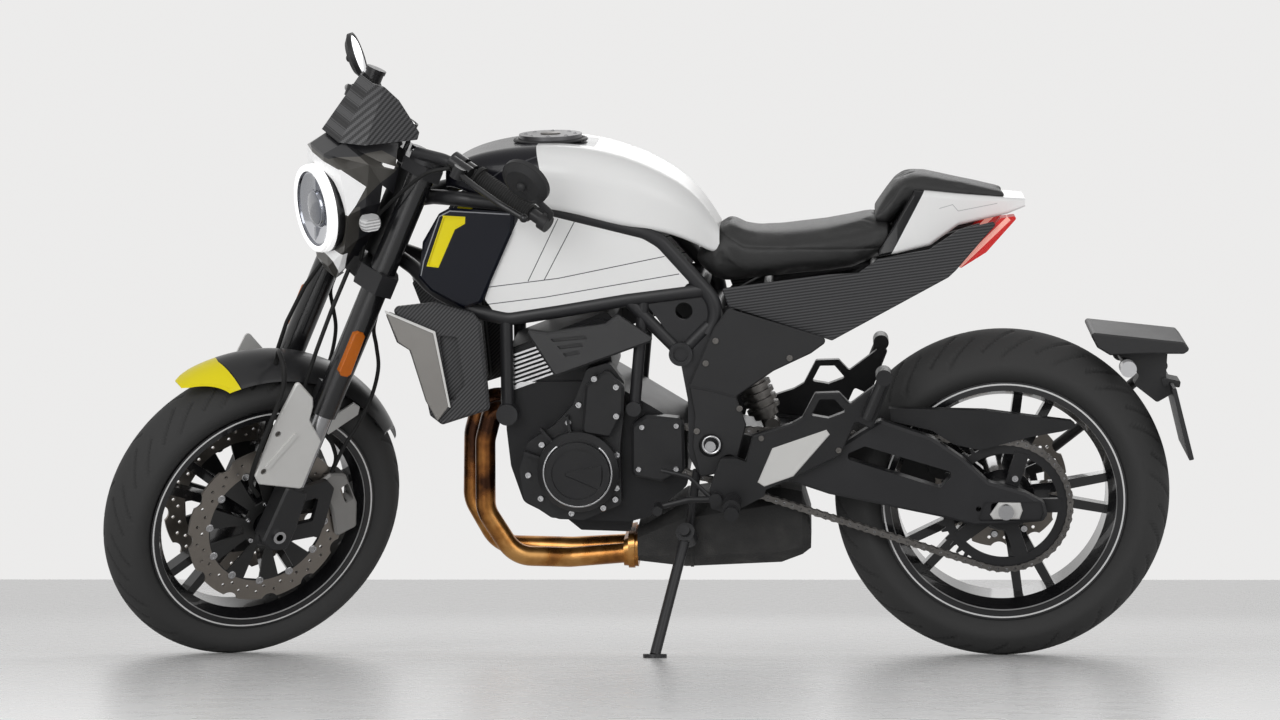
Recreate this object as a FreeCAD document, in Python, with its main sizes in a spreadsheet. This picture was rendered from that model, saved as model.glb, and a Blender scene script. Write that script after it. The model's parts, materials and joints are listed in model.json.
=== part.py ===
import FreeCAD, Part
import math
import os
import Sketcher
from FreeCAD import Placement, Rotation, Vector

# A naked road motorcycle with two wheels in line, standing on its side stand.
# Each piece is drawn with the machine upright and its steering straight:
# x runs rearwards from the front axle, y to the machine's right and z up from the ground.
# The placements at the end of each piece then turn the steering and lean the machine.

SIZES = [
    ("wheelbase", 1435.0, "front axle to rear axle with the steering straight"),
    ("rake_angle", 24.5, "steering axis from the vertical, degrees"),
    ("fork_offset", 32.0, "steering axis behind the fork legs"),
    ("lean_angle", 15.0, "lean on the side stand, degrees"),
    ("steering_lock", 36.0, "steering angle from straight to either stop, degrees"),
    ("running_gap", 0.05, "radial clearance of a shaft in its bore"),
    ("face_gap", 0.3, "gap between faces that seat on each other"),
    ("front_tyre_diameter", 600.0, "front tyre, outside"),
    ("front_tyre_width", 120.0, "front tyre, across the tread"),
    ("front_crown_radius", 66.0, "front tyre, tread curve"),
    ("rear_tyre_diameter", 630.0, "rear tyre, outside"),
    ("rear_tyre_width", 180.0, "rear tyre, across the tread"),
    ("rear_crown_radius", 98.0, "rear tyre, tread curve"),
    ("rim_diameter", 458.0, "wheel flange, outside"),
    ("rim_seat_diameter", 436.0, "bead seat"),
    ("rim_well_diameter", 396.0, "inside of the rim's well"),
    ("rim_wall", 6.0, "rim metal thickness"),
    ("front_rim_width", 98.0, "front rim over its flanges"),
    ("rear_rim_width", 150.0, "rear rim over its flanges"),
    ("spoke_pairs", 5.0, "spoke pairs on a wheel"),
    ("spoke_width", 17.0, "a spoke seen from the side"),
    ("spoke_depth", 26.0, "a spoke along the axle"),
    ("spoke_spread", 62.0, "the two spokes of a pair, apart at the rim"),
    ("front_hub_diameter", 74.0, "front hub barrel"),
    ("rear_hub_diameter", 118.0, "rear hub barrel"),
    ("rear_hub_width", 120.0, "rear hub barrel, end to end"),
    ("front_axle_diameter", 25.0, "front axle"),
    ("rear_axle_diameter", 28.0, "rear axle"),
    ("axle_bore_diameter", 14.0, "hollow of the front axle"),
    ("front_disc_diameter", 320.0, "front brake discs"),
    ("front_disc_spacing", 124.0, "front brake discs, centre to centre"),
    ("rear_disc_diameter", 260.0, "rear brake disc"),
    ("rear_disc_offset", 98.0, "rear brake disc from the middle"),
    ("disc_thickness", 5.0, "brake discs"),
    ("disc_band", 36.0, "brake disc's rubbing band"),
    ("disc_lobes", 12.0, "scallops round a brake disc"),
    ("sprocket_teeth", 48.0, "rear sprocket"),
    ("chain_pitch", 15.875, "drive chain"),
    ("chain_offset", 103.0, "chain line from the middle"),
    ("sprocket_thickness", 6.0, "rear sprocket"),
    ("chain_plate_height", 14.0, "chain link plates"),
    ("chain_plate_thickness", 3.2, "a pair of link plates on one side"),
    ("chain_inner_width", 8.0, "chain between its inner plates"),
    ("front_sprocket_radius", 36.0, "chain path round the gearbox sprocket"),
    ("front_sprocket_x", 800.0, "gearbox output shaft, rearwards"),
    ("front_sprocket_z", 437.0, "gearbox output shaft, height"),
    ("leg_spacing", 194.0, "fork legs, centre to centre"),
    ("outer_tube_diameter", 50.0, "fork outer tubes"),
    ("outer_tube_bottom", 250.0, "fork outer tubes start this far up the leg"),
    ("fork_rise", 16.0, "fork outer tubes above the upper yoke"),
    ("inner_tube_diameter", 41.0, "fork inner tubes"),
    ("lower_yoke_height", 508.0, "underside of the lower yoke up the leg"),
    ("lower_yoke_depth", 40.0, "lower yoke thickness"),
    ("upper_yoke_height", 742.0, "underside of the upper yoke up the leg"),
    ("upper_yoke_depth", 24.0, "upper yoke thickness"),
    ("yoke_wall", 11.0, "yoke metal round a fork tube"),
    ("stem_diameter", 30.0, "steering stem"),
    ("head_tube_diameter", 58.0, "steering head of the frame"),
    ("bar_diameter", 22.2, "handlebar tube"),
    ("grip_diameter", 34.0, "handlebar grips"),
    ("frame_tube_diameter", 28.0, "main frame tubes"),
    ("frame_half_width", 120.0, "main frame tubes from the middle"),
    ("pivot_x", 891.0, "swingarm pivot, rearwards"),
    ("pivot_z", 443.0, "swingarm pivot, height"),
    ("pivot_bolt_diameter", 20.0, "swingarm pivot bolt"),
    ("arm_offset", 132.0, "middle of a swingarm side from the middle"),
    ("arm_thickness", 28.0, "swingarm side plate"),
    ("engine_half_width", 105.0, "engine castings from the middle"),
    ("header_diameter", 38.0, "exhaust header pipes"),
    ("stand_x", 842.0, "side stand pivot, rearwards"),
    ("stand_y", 132.0, "side stand pivot from the middle"),
    ("stand_z", 272.0, "side stand pivot, height"),
    ("stand_foot_x", 786.0, "side stand foot, rearwards"),
    ("stand_foot_y", 285.0, "side stand foot on the ground, out from the wheels' line"),
    ("stand_bar_diameter", 20.0, "side stand leg"),
    ("cap_x", 597.0, "fuel cap, rearwards"),
    ("cap_z", 1003.0, "fuel cap seat, height"),
    ("cap_diameter", 118.0, "fuel cap flap"),
    ("neck_bore_diameter", 58.0, "filler neck bore"),
    ("neck_depth", 60.0, "filler neck bore depth"),
    ("mouth_depth", 8.0, "wider mouth of the filler neck, round the cap's boss"),
    ("bobbin_bore_diameter", 10.0, "threaded holes for paddock stand bobbins"),
    ("bobbin_bore_depth", 22.0, "depth of the bobbin holes"),
    ("bobbin_x", 1385.0, "bobbin holes, rearwards"),
    ("bobbin_z", 319.0, "bobbin holes, height"),
    ("headlight_diameter", 166.0, "headlight ring"),
    ("mirror_diameter", 94.0, "bar end mirrors"),
    ("peg_diameter", 26.0, "rider foot pegs"),
    ("panel_thickness", 3.0, "plastic body panels"),
]


# Numbers that know the sheet cell they come from

class Size(float):
    """A length or angle that carries the expression which gives it."""

    def __new__(cls, value, text=None):
        number = super().__new__(cls, value)
        number.text = text if text is not None else repr(float(value))
        return number

    def __add__(self, other):
        return Size(float(self) + float(other), "(%s + %s)" % (self.text, wording(other)))

    def __radd__(self, other):
        return Size(float(other) + float(self), "(%s + %s)" % (wording(other), self.text))

    def __sub__(self, other):
        return Size(float(self) - float(other), "(%s - %s)" % (self.text, wording(other)))

    def __rsub__(self, other):
        return Size(float(other) - float(self), "(%s - %s)" % (wording(other), self.text))

    def __mul__(self, other):
        return Size(float(self) * float(other), "(%s * %s)" % (self.text, wording(other)))

    def __rmul__(self, other):
        return Size(float(other) * float(self), "(%s * %s)" % (wording(other), self.text))

    def __truediv__(self, other):
        return Size(float(self) / float(other), "(%s / %s)" % (self.text, wording(other)))

    def __neg__(self):
        return Size(-float(self), "(-1 * %s)" % self.text)


def wording(value):
    """The expression of a number, whether it comes from the sheet or not."""
    return value.text if isinstance(value, Size) else repr(float(value))


class Sizes:
    """The sheet's cells by name."""


doc = FreeCAD.newDocument("motorcycle")
sheet = doc.addObject("Spreadsheet::Sheet", "Sizes")
s = Sizes()
for row, (name, value, note) in enumerate(SIZES, start=1):
    sheet.set("A%d" % row, name)
    sheet.set("B%d" % row, repr(value))
    sheet.setAlias("B%d" % row, name)
    sheet.set("C%d" % row, note)
    setattr(s, name, Size(value, "Sizes." + name))
doc.recompute()

nodes = {}


# Frames and placements

rake = math.radians(s.rake_angle)
axis_direction = Vector(math.sin(rake), 0, math.cos(rake))
front_axle_z = s.front_tyre_diameter / 2
rear_axle_z = s.rear_tyre_diameter / 2
trail = (front_axle_z * math.sin(rake) - s.fork_offset) / math.cos(rake)
axis_foot = Vector(-trail, 0, 0)

fork_frame = Placement(Vector(0, 0, front_axle_z), Rotation(Vector(0, 1, 0), s.rake_angle))


def turned_about(point, direction, angle):
    """Placement that turns about a line by an angle in degrees."""
    return Placement(Vector(0, 0, 0), Rotation(direction, angle), point)


def lowest(placement, centre, ring, crown):
    """Lowest height of a tyre whose tread circle has this ring and crown radius."""
    middle = placement.multVec(centre)
    across = placement.Rotation.multVec(Vector(0, 1, 0))
    return middle.z - ring * math.sqrt(1 - across.z ** 2) - crown


steer = turned_about(axis_foot, axis_direction, s.steering_lock)
front_axle = Vector(0, 0, front_axle_z)
rear_axle = Vector(s.wheelbase, 0, rear_axle_z)


def parked():
    """Lean the machine and set both tyres on the ground."""
    front_ring = s.front_tyre_diameter / 2 - s.front_crown_radius
    rear_ring = s.rear_tyre_diameter / 2 - s.rear_crown_radius
    place = Placement(Vector(0, 0, 0), Rotation(Vector(1, 0, 0), s.lean_angle))
    for _ in range(4):
        front = lowest(place.multiply(steer), front_axle, front_ring, s.front_crown_radius)
        rear = lowest(place, rear_axle, rear_ring, s.rear_crown_radius)
        pitch = math.degrees(math.atan2(rear - front, s.wheelbase))
        nod = Placement(Vector(0, 0, -front), Rotation(Vector(0, 1, 0), pitch))
        place = nod.multiply(place)
    return place


stance = parked()


# Building helpers

def at(x, y, z):
    return Vector(float(x), float(y), float(z))


def bind(thing, prop, value):
    """Tie a property to the sheet."""
    thing.setExpression(prop, wording(value))


def keep(label, thing, placement, body):
    """Name a finished piece, place it and note the moving body it belongs to."""
    thing.Label = label
    thing.Placement = placement
    nodes[label] = (thing, body)
    return thing


def keep_shape(label, shape, placement, body):
    """Store a shape made with Part's own functions."""
    thing = doc.addObject("Part::Feature", label)
    thing.Shape = shape
    return keep(label, thing, placement, body)


def mirrored(shape):
    """The shape on the machine's other side."""
    return shape.mirror(Vector(0, 0, 0), Vector(0, 1, 0))


def both_sides(shape):
    return Part.makeCompound([shape, mirrored(shape)])


def largest(shape):
    """The biggest solid of a cut shape."""
    return max(shape.Solids, key=lambda solid: solid.Volume)


def union(*shapes):
    """One solid from touching ones."""
    flat = []
    for shape in shapes:
        flat.extend(shape if isinstance(shape, (list, tuple)) else [shape])
    return flat[0].fuse(flat[1:]).removeSplitter()


def rod(start, end, radius):
    """Cylinder between two points."""
    run = end.sub(start)
    return Part.makeCylinder(float(radius), run.Length, start, run)


def rounded_path(points, bend):
    """Straight runs joined by tangent arcs."""
    edges = []
    here = points[0]
    for index in range(1, len(points) - 1):
        corner = points[index]
        inward = corner.sub(points[index - 1])
        outward = points[index + 1].sub(corner)
        turn = inward.getAngle(outward)
        if turn < 0.01:
            continue
        longest = 0.48 * min(inward.Length, outward.Length)
        cut = min(bend * math.tan(turn / 2), longest)
        first = corner.sub(Vector(inward).normalize().multiply(cut))
        last = corner.add(Vector(outward).normalize().multiply(cut))
        radius = cut / math.tan(turn / 2)
        middle_way = first.add(last).multiply(0.5).sub(corner)
        reach = radius / math.cos(turn / 2) - radius
        middle = corner.add(middle_way.normalize().multiply(reach))
        edges.append(Part.LineSegment(here, first).toShape())
        edges.append(Part.Arc(first, middle, last).toShape())
        here = last
    edges.append(Part.LineSegment(here, points[-1]).toShape())
    return Part.Wire(edges)


def bent_tube(points, diameter, bend):
    """Round bar along a path with bends."""
    path = rounded_path(points, bend)
    circle = Part.Circle(points[0], points[1].sub(points[0]), float(diameter) / 2)
    section = Part.Wire([circle.toShape()])
    return path.makePipeShell([section], True, True)


def outline(points, radii=None):
    """Closed wire in the x-z plane through corner points, with rounded corners."""
    count = len(points)
    corners = [at(x, 0, z) for x, z in points]
    edges = []
    ends = []
    for index in range(count):
        before = corners[index - 1].sub(corners[index])
        after = corners[(index + 1) % count].sub(corners[index])
        radius = radii[index] if isinstance(radii, (list, tuple)) else (radii or 0)
        half = before.getAngle(after) / 2
        cut = 0
        if radius and half < 1.55:
            cut = min(radius / math.tan(half), 0.47 * before.Length, 0.47 * after.Length)
        ends.append((cut, half))
    previous = None
    first_point = None
    for index in range(count):
        corner = corners[index]
        before = Vector(corners[index - 1].sub(corner)).normalize()
        after = Vector(corners[(index + 1) % count].sub(corner)).normalize()
        cut, half = ends[index]
        start = corner.add(Vector(before).multiply(cut))
        finish = corner.add(Vector(after).multiply(cut))
        if previous is not None:
            edges.append(Part.LineSegment(previous, start).toShape())
        else:
            first_point = start
        if cut > 0:
            radius = cut * math.tan(half)
            reach = radius / math.sin(half) - radius
            middle = corner.add(before.add(after).normalize().multiply(reach))
            edges.append(Part.Arc(start, middle, finish).toShape())
        previous = finish
    edges.append(Part.LineSegment(previous, first_point).toShape())
    return Part.Wire(edges)


def plate(points, low, high, radii=None):
    """Flat plate with an x-z outline between two y values."""
    face = Part.Face(outline(points, radii))
    face.translate(Vector(0, float(low), 0))
    return face.extrude(Vector(0, float(high) - float(low), 0))


def section(x, half_width, bottom, top, round_bottom, round_top, tuck=0.0):
    """Closed wire across the machine: a box with rounded corners."""
    low = half_width - tuck
    points = [(-low, bottom), (low, bottom), (half_width, top), (-half_width, top)]
    wire = outline(points, [round_bottom, round_bottom, round_top, round_top])
    wire.rotate(Vector(0, 0, 0), Vector(0, 0, 1), 90)
    wire.translate(at(x, 0, 0))
    return wire


def loft(wires, ruled=False):
    return Part.makeLoft(wires, True, ruled)


def eased(shape, size, y):
    """Chamfer the edges of a plate that lie on one of its flat sides."""
    edges = []
    for edge in shape.Edges:
        box = edge.BoundBox
        if abs(box.YMin - y) < 0.01 and abs(box.YMax - y) < 0.01:
            edges.append(edge)
    return shape.makeChamfer(size, edges)


def cut_corners(x, half_width, bottom, top, corner):
    """Closed wire across the machine: a box with its four corners cut off."""
    points = [(-half_width + corner, bottom), (half_width - corner, bottom),
              (half_width, bottom + corner), (half_width, top - corner),
              (half_width - corner, top), (-half_width + corner, top),
              (-half_width, top - corner), (-half_width, bottom + corner)]
    wire = outline(points)
    wire.rotate(Vector(0, 0, 0), Vector(0, 0, 1), 90)
    wire.translate(at(x, 0, 0))
    return wire


def triangle(first, second, third):
    return Part.Face(Part.makePolygon([first, second, third, first]))


def faceted(rings):
    """Solid between closed rings of corners, with flat facets and closed ends."""
    faces = []
    for ring, following in zip(rings, rings[1:]):
        for index in range(len(ring)):
            beside = index - 1
            faces.append(triangle(ring[beside], ring[index], following[index]))
            faces.append(triangle(ring[beside], following[index], following[beside]))
    for ring in (rings[0], rings[-1]):
        middle = Vector(0, 0, 0)
        for corner in ring:
            middle = middle.add(corner)
        middle = middle.multiply(1 / len(ring))
        for index in range(len(ring)):
            faces.append(triangle(middle, ring[index - 1], ring[index]))
    shell = Part.makeShell(faces)
    shell.sewShape()
    solid = Part.Solid(shell)
    if solid.Volume < 0:
        solid.reverse()
    return solid


def ring_profile(body, plane_role, corners, name):
    """Sketch of a closed profile whose corners are tied to the sheet.

    Each corner is (x, y) or (x, y, radius, side): then the edge that leads to it is an arc
    of that radius, bulging to the left (1) or the right (-1) of its travel.
    """
    sketch = body.newObject("Sketcher::SketchObject", name)
    for feature in body.Origin.OriginFeatures:
        if feature.Role == plane_role:
            sketch.AttachmentSupport = [(feature, "")]
    sketch.MapMode = "FlatFace"
    count = len(corners)
    for index in range(count):
        start = corners[index - 1]
        end = corners[index]
        first = at(start[0], start[1], 0)
        last = at(end[0], end[1], 0)
        if len(end) == 4:
            radius = float(end[2])
            chord = last.sub(first)
            sag = radius - math.sqrt(radius ** 2 - (chord.Length / 2) ** 2)
            left = Vector(-chord.y, chord.x, 0).normalize().multiply(end[3] * sag)
            middle = first.add(last).multiply(0.5).add(left)
            if end[3] > 0:
                first, last = last, first
            sketch.addGeometry(Part.Arc(first, middle, last), False)
        else:
            sketch.addGeometry(Part.LineSegment(first, last), False)
    ends = [(2, 1) if len(corner) == 4 and corner[3] > 0 else (1, 2) for corner in corners]
    for index in range(count):
        following = (index + 1) % count
        sketch.addConstraint(Sketcher.Constraint(
            "Coincident", index, ends[index][1], following, ends[following][0]))
    for index in range(count):
        for kind, number in (("DistanceX", 0), ("DistanceY", 1)):
            value = corners[index][number]
            place = sketch.addConstraint(Sketcher.Constraint(
                kind, -1, 1, index, ends[index][1], float(value)))
            if isinstance(value, Size):
                sketch.setExpression("Constraints[%d]" % place, value.text)
        if len(corners[index]) == 4:
            place = sketch.addConstraint(Sketcher.Constraint(
                "Radius", index, float(corners[index][2])))
            if isinstance(corners[index][2], Size):
                sketch.setExpression("Constraints[%d]" % place, corners[index][2].text)
    return sketch


def axis_of(body, role):
    for feature in body.Origin.OriginFeatures:
        if feature.Role == role:
            return (feature, [""])


def new_body(name):
    return doc.addObject("PartDesign::Body", name)


def revolved(body, profile, name):
    """Turn a profile round the wheel axis, which is the sketch's x axis and the body's y."""
    feature = body.newObject("PartDesign::Revolution", name)
    feature.Profile = profile
    feature.ReferenceAxis = axis_of(body, "Y_Axis")
    feature.Angle = 360.0
    return feature


def padded(body, profile, length, name):
    """Pad a sketch by the same amount to both sides of its plane."""
    feature = body.newObject("PartDesign::Pad", name)
    feature.Profile = profile
    feature.SideType = "Symmetric"
    bind(feature, "Length", length)
    return feature


def pocketed(body, profile, length, name):
    """Cut a sketch through to both sides of its plane."""
    feature = body.newObject("PartDesign::Pocket", name)
    feature.Profile = profile
    feature.SideType = "Symmetric"
    bind(feature, "Length", length)
    return feature


def repeated(body, feature, count, name):
    """Copies of a feature round the body's y axis."""
    pattern = body.newObject("PartDesign::PolarPattern", name)
    pattern.Originals = [feature]
    pattern.Axis = axis_of(body, "Y_Axis")
    pattern.Angle = 360.0
    pattern.Occurrences = int(count)
    body.Tip = pattern
    return pattern


def disc_sketch(body, centre_x, centre_z, radius, name):
    """Sketch of one circle in the wheel plane."""
    sketch = body.newObject("Sketcher::SketchObject", name)
    for feature in body.Origin.OriginFeatures:
        if feature.Role == "XZ_Plane":
            sketch.AttachmentSupport = [(feature, "")]
    sketch.MapMode = "FlatFace"
    centre = at(centre_x, centre_z, 0)
    sketch.addGeometry(Part.Circle(centre, Vector(0, 0, 1), float(radius)), False)
    for kind, value in (("DistanceX", centre_x), ("DistanceY", centre_z)):
        place = sketch.addConstraint(Sketcher.Constraint(kind, -1, 1, 0, 3, float(value)))
        if isinstance(value, Size):
            sketch.setExpression("Constraints[%d]" % place, value.text)
    place = sketch.addConstraint(Sketcher.Constraint("Radius", 0, float(radius)))
    if isinstance(radius, Size):
        sketch.setExpression("Constraints[%d]" % place, radius.text)
    return sketch


# Wheels

# A side wall's bulge: the radius of its arc over the length of its chord
WALL_ROUND = 1.5


def tyre(label, diameter, width, crown, rim_width, placement, body_name):
    """Tyre: a tread arc, two side walls and the beads, turned round the axle."""
    body = new_body(label)
    half = width * 0.475
    drop = float(crown) - math.sqrt(float(crown) ** 2 - float(half) ** 2)
    shoulder = diameter / 2 - drop
    bead = rim_width / 2 - s.rim_wall - s.face_gap
    flange = s.rim_diameter / 2 + s.face_gap
    side = WALL_ROUND * math.hypot(float(shoulder) - float(flange), float(half) - float(bead))
    profile = ring_profile(body, "XY_Plane", [
        (s.rim_seat_diameter / 2 + s.face_gap, bead),
        (flange, bead),
        (shoulder, half, side, 1),
        (shoulder, -half, crown, 1),
        (flange, -bead, side, 1),
        (s.rim_seat_diameter / 2 + s.face_gap, -bead)], label + "_profile")
    revolved(body, profile, label + "_ring")
    return keep(label, body, placement, body_name)


def wheel(label, rim_width, hub_diameter, hub_width, axle_diameter, placement, body_name):
    """Cast wheel: rim, hub and pairs of spokes."""
    body = new_body(label)
    out = s.rim_diameter / 2
    seat = s.rim_seat_diameter / 2
    well = s.rim_well_diameter / 2
    edge = rim_width / 2
    bead = edge - s.rim_wall
    floor = edge * 0.45
    rim = ring_profile(body, "XY_Plane", [
        (out, edge), (out, bead), (seat, bead), (well + s.rim_wall, floor),
        (well + s.rim_wall, -floor), (seat, -bead), (out, -bead), (out, -edge),
        (seat - s.rim_wall, -edge), (well, -floor), (well, floor),
        (seat - s.rim_wall, edge)], label + "_rim_profile")
    revolved(body, rim, label + "_rim")
    bore = axle_diameter / 2 + s.running_gap
    hub = ring_profile(body, "XY_Plane", [
        (hub_diameter / 2, hub_width / 2), (hub_diameter / 2, -hub_width / 2),
        (bore, -hub_width / 2), (bore, hub_width / 2)], label + "_hub_profile")
    revolved(body, hub, label + "_hub")
    root = hub_diameter / 2 - 4
    reach = well + s.rim_wall / 2
    spread = s.spoke_spread / 2
    slim = s.spoke_width
    spoke = ring_profile(body, "XZ_Plane", [
        (root, slim * 1.1), (root, 0.0), (root + slim * 1.6, 0.0), (reach, spread - slim * 0.45),
        (reach, spread + slim * 0.55), (root + slim * 2.2, slim * 1.25)], label + "_spoke_profile")
    upper = padded(body, spoke, s.spoke_depth, label + "_spoke")
    mirror_profile = ring_profile(body, "XZ_Plane", [
        (root, -slim * 1.1), (root + slim * 2.2, -slim * 1.25), (reach, -spread - slim * 0.55),
        (reach, -spread + slim * 0.45), (root + slim * 1.6, 0.0), (root, 0.0)],
        label + "_twin_profile")
    lower = padded(body, mirror_profile, s.spoke_depth, label + "_twin")
    pattern = body.newObject("PartDesign::PolarPattern", label + "_spokes")
    pattern.Originals = [upper, lower]
    pattern.Axis = axis_of(body, "Y_Axis")
    pattern.Angle = 360.0
    pattern.Occurrences = int(s.spoke_pairs)
    body.Tip = pattern
    return keep(label, body, placement, body_name)


def brake_disc(name, diameter, hub_diameter):
    """Scalloped and drilled brake disc with its carrier, centred on its own plane."""
    body = new_body(name)
    face = disc_sketch(body, 0.0, 0.0, diameter / 2, name + "_outline")
    padded(body, face, s.disc_thickness, name + "_plate")
    doc.recompute()
    bite = disc_sketch(body, diameter / 2 + 9, 0.0, 18.0, name + "_bite_outline")
    cut = pocketed(body, bite, s.disc_thickness * 2, name + "_bite")
    repeated(body, cut, s.disc_lobes, name + "_bites")
    doc.recompute()
    window = ring_profile(body, "XZ_Plane", [
        (hub_diameter / 2 + 12, -9.0), (diameter / 2 - s.disc_band - 7, -17.0),
        (diameter / 2 - s.disc_band - 7, 17.0), (hub_diameter / 2 + 12, 9.0)],
        name + "_window_outline")
    hole = pocketed(body, window, s.disc_thickness * 2, name + "_window")
    repeated(body, hole, 10, name + "_windows")
    doc.recompute()
    for index, (depth, aside) in enumerate(((17, 11.0), (28, -10.0))):
        drill = disc_sketch(body, diameter / 2 - depth, aside, 3.2, "%s_drill_%d" % (name, index))
        hole = pocketed(body, drill, s.disc_thickness * 2, "%s_hole_%d" % (name, index))
        repeated(body, hole, s.disc_lobes * 2, "%s_holes_%d" % (name, index))
        doc.recompute()
    bore = disc_sketch(body, 0.0, 0.0, hub_diameter / 2 - 8, name + "_bore_outline")
    pocketed(body, bore, s.disc_thickness * 2, name + "_bore")
    doc.recompute()
    return body


def front_wheel():
    place = stance.multiply(steer).multiply(Placement(front_axle, Rotation()))
    tyre("front_tyre", s.front_tyre_diameter, s.front_tyre_width, s.front_crown_radius,
         s.front_rim_width, place, "front_wheel")
    hub_width = s.front_disc_spacing - s.disc_thickness - s.face_gap * 2
    wheel("front_rim", s.front_rim_width, s.front_hub_diameter, hub_width,
          s.front_axle_diameter, place, "front_wheel")
    disc = brake_disc("front_disc", s.front_disc_diameter, s.front_hub_diameter)
    offset = s.front_disc_spacing / 2
    shape = disc.Shape.copy()
    near = shape.translated(Vector(0, -float(offset), 0))
    far = shape.translated(Vector(0, float(offset), 0))
    keep_shape("front_brake_discs", Part.makeCompound([near, far]), place, "front_wheel")


def chain_path():
    """Radii of the chain's centre line on the rear and the gearbox sprocket."""
    big = float(s.chain_pitch) / (2 * math.sin(math.pi / float(s.sprocket_teeth)))
    small = float(s.front_sprocket_radius)
    return big, small


def belt_outline(grow):
    """Outline round both sprockets, a given distance outside the chain's centre line."""
    big, small = chain_path()
    rear = Vector(float(s.wheelbase), 0, float(rear_axle_z))
    front = Vector(float(s.front_sprocket_x), 0, float(s.front_sprocket_z))
    run = rear.sub(front)
    tilt = math.atan2(run.z, run.x)
    open_angle = math.acos((big - small) / run.Length)
    edges = []
    corners = []
    for sign in (1, -1):
        angle = tilt + math.pi - sign * open_angle
        way = Vector(math.cos(angle), 0, math.sin(angle))
        corners.append((front.add(way * (small + grow)), rear.add(way * (big + grow))))
    front_nose = front.add(Vector(run).normalize() * -(small + grow))
    rear_nose = rear.add(Vector(run).normalize() * (big + grow))
    edges.append(Part.Arc(corners[0][0], front_nose, corners[1][0]).toShape())
    edges.append(Part.LineSegment(corners[1][0], corners[1][1]).toShape())
    edges.append(Part.Arc(corners[1][1], rear_nose, corners[0][1]).toShape())
    edges.append(Part.LineSegment(corners[0][1], corners[0][0]).toShape())
    return Part.Wire(edges)


def drive_chain():
    """Drive chain as one loop: two bands of link plates joined by rollers on its free runs."""
    half = float(s.chain_plate_height) / 2
    outer = Part.Face(belt_outline(half))
    inner = Part.Face(belt_outline(-half))
    ring = outer.cut(inner)
    wide = float(s.chain_plate_thickness)
    gap = float(s.chain_inner_width)
    bands = []
    for low in (-gap / 2 - wide, gap / 2):
        band = ring.extrude(Vector(0, wide, 0))
        band.translate(Vector(0, low - float(s.chain_offset), 0))
        bands.append(band)
    wire = belt_outline(0.0)
    rollers = []
    for edge in wire.Edges:
        if not isinstance(edge.Curve, Part.Line):
            continue
        count = int(edge.Length // (2 * float(s.chain_pitch)))
        for index in range(2, count - 3):
            spot = edge.valueAt(edge.FirstParameter + index * 2 * float(s.chain_pitch))
            start = Vector(spot.x, -float(s.chain_offset) - gap / 2 - 0.5, spot.z)
            rollers.append(Part.makeCylinder(5.0, gap + 1.0, start, Vector(0, 1, 0)))
    keep_shape("drive_chain", union(bands, rollers), stance, "frame")


def rear_wheel():
    place = stance.multiply(Placement(rear_axle, Rotation()))
    tyre("rear_tyre", s.rear_tyre_diameter, s.rear_tyre_width, s.rear_crown_radius,
         s.rear_rim_width, place, "rear_wheel")
    wheel("rear_rim", s.rear_rim_width, s.rear_hub_diameter, s.rear_hub_width,
          s.rear_axle_diameter, place, "rear_wheel")
    disc = brake_disc("rear_disc", s.rear_disc_diameter, s.rear_hub_diameter * 0.7)
    shape = disc.Shape.translated(Vector(0, float(s.rear_disc_offset), 0))
    seat = float(s.rear_hub_width) / 2 + float(s.face_gap)
    collar = Part.makeCylinder(float(s.rear_hub_diameter) * 0.42,
                               float(s.rear_disc_offset) - seat + 2,
                               Vector(0, seat, 0), Vector(0, 1, 0))
    bore = Part.makeCylinder(float(s.rear_axle_diameter) / 2 + 4, 400,
                             Vector(0, -200, 0), Vector(0, 1, 0))
    keep_shape("rear_brake_disc", union(shape, collar).cut(bore), place, "rear_wheel")
    keep_shape("rear_sprocket", sprocket_shape(), place, "rear_wheel")


def sprocket_shape():
    """Toothed sprocket with its dished carrier."""
    big, _ = chain_path()
    teeth = int(s.sprocket_teeth)
    root = big - 5.5
    tip = big + 5.0
    points = []
    for index in range(teeth):
        base = 2 * math.pi * index / teeth
        step = math.pi / teeth
        for radius, turn in ((root, -0.55), (tip, -0.2), (tip, 0.2), (root, 0.55)):
            angle = base + turn * step
            points.append((radius * math.cos(angle), radius * math.sin(angle)))
    half = float(s.sprocket_thickness) / 2
    middle = -float(s.chain_offset)
    ring = plate(points, middle - half, middle + half)
    ring = ring.cut(Part.makeCylinder(big - 22, 60, Vector(0, middle - 30, 0), Vector(0, 1, 0)))
    arms = []
    for index in range(5):
        angle = 72.0 * index
        arm = Part.makeBox(big - 36, 10, 26, Vector(20, middle - 5, -13))
        arm.rotate(Vector(0, 0, 0), Vector(0, 1, 0), angle)
        arms.append(arm)
    hub_end = -float(s.rear_hub_width) / 2 - float(s.face_gap)
    hub = Part.makeCylinder(44, hub_end - middle + 8, Vector(0, middle - 8, 0), Vector(0, 1, 0))
    bore = Part.makeCylinder(float(s.rear_axle_diameter) / 2 + 4, 400,
                             Vector(0, -200, 0), Vector(0, 1, 0))
    return union(ring, arms, hub).cut(bore)


# Steering group, drawn in the fork's own frame:
# x behind the fork legs, y to the right, z up the legs from the axle

steering_frame = stance.multiply(steer).multiply(fork_frame)
fork_top = s.upper_yoke_height + s.upper_yoke_depth + s.fork_rise


def cylinder(name, radius, length, base, direction):
    """Cylinder object tied to the sheet."""
    thing = doc.addObject("Part::Cylinder", name)
    bind(thing, "Radius", radius)
    bind(thing, "Height", length)
    thing.Placement = Placement(base, Rotation(Vector(0, 0, 1), direction))
    return thing


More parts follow.
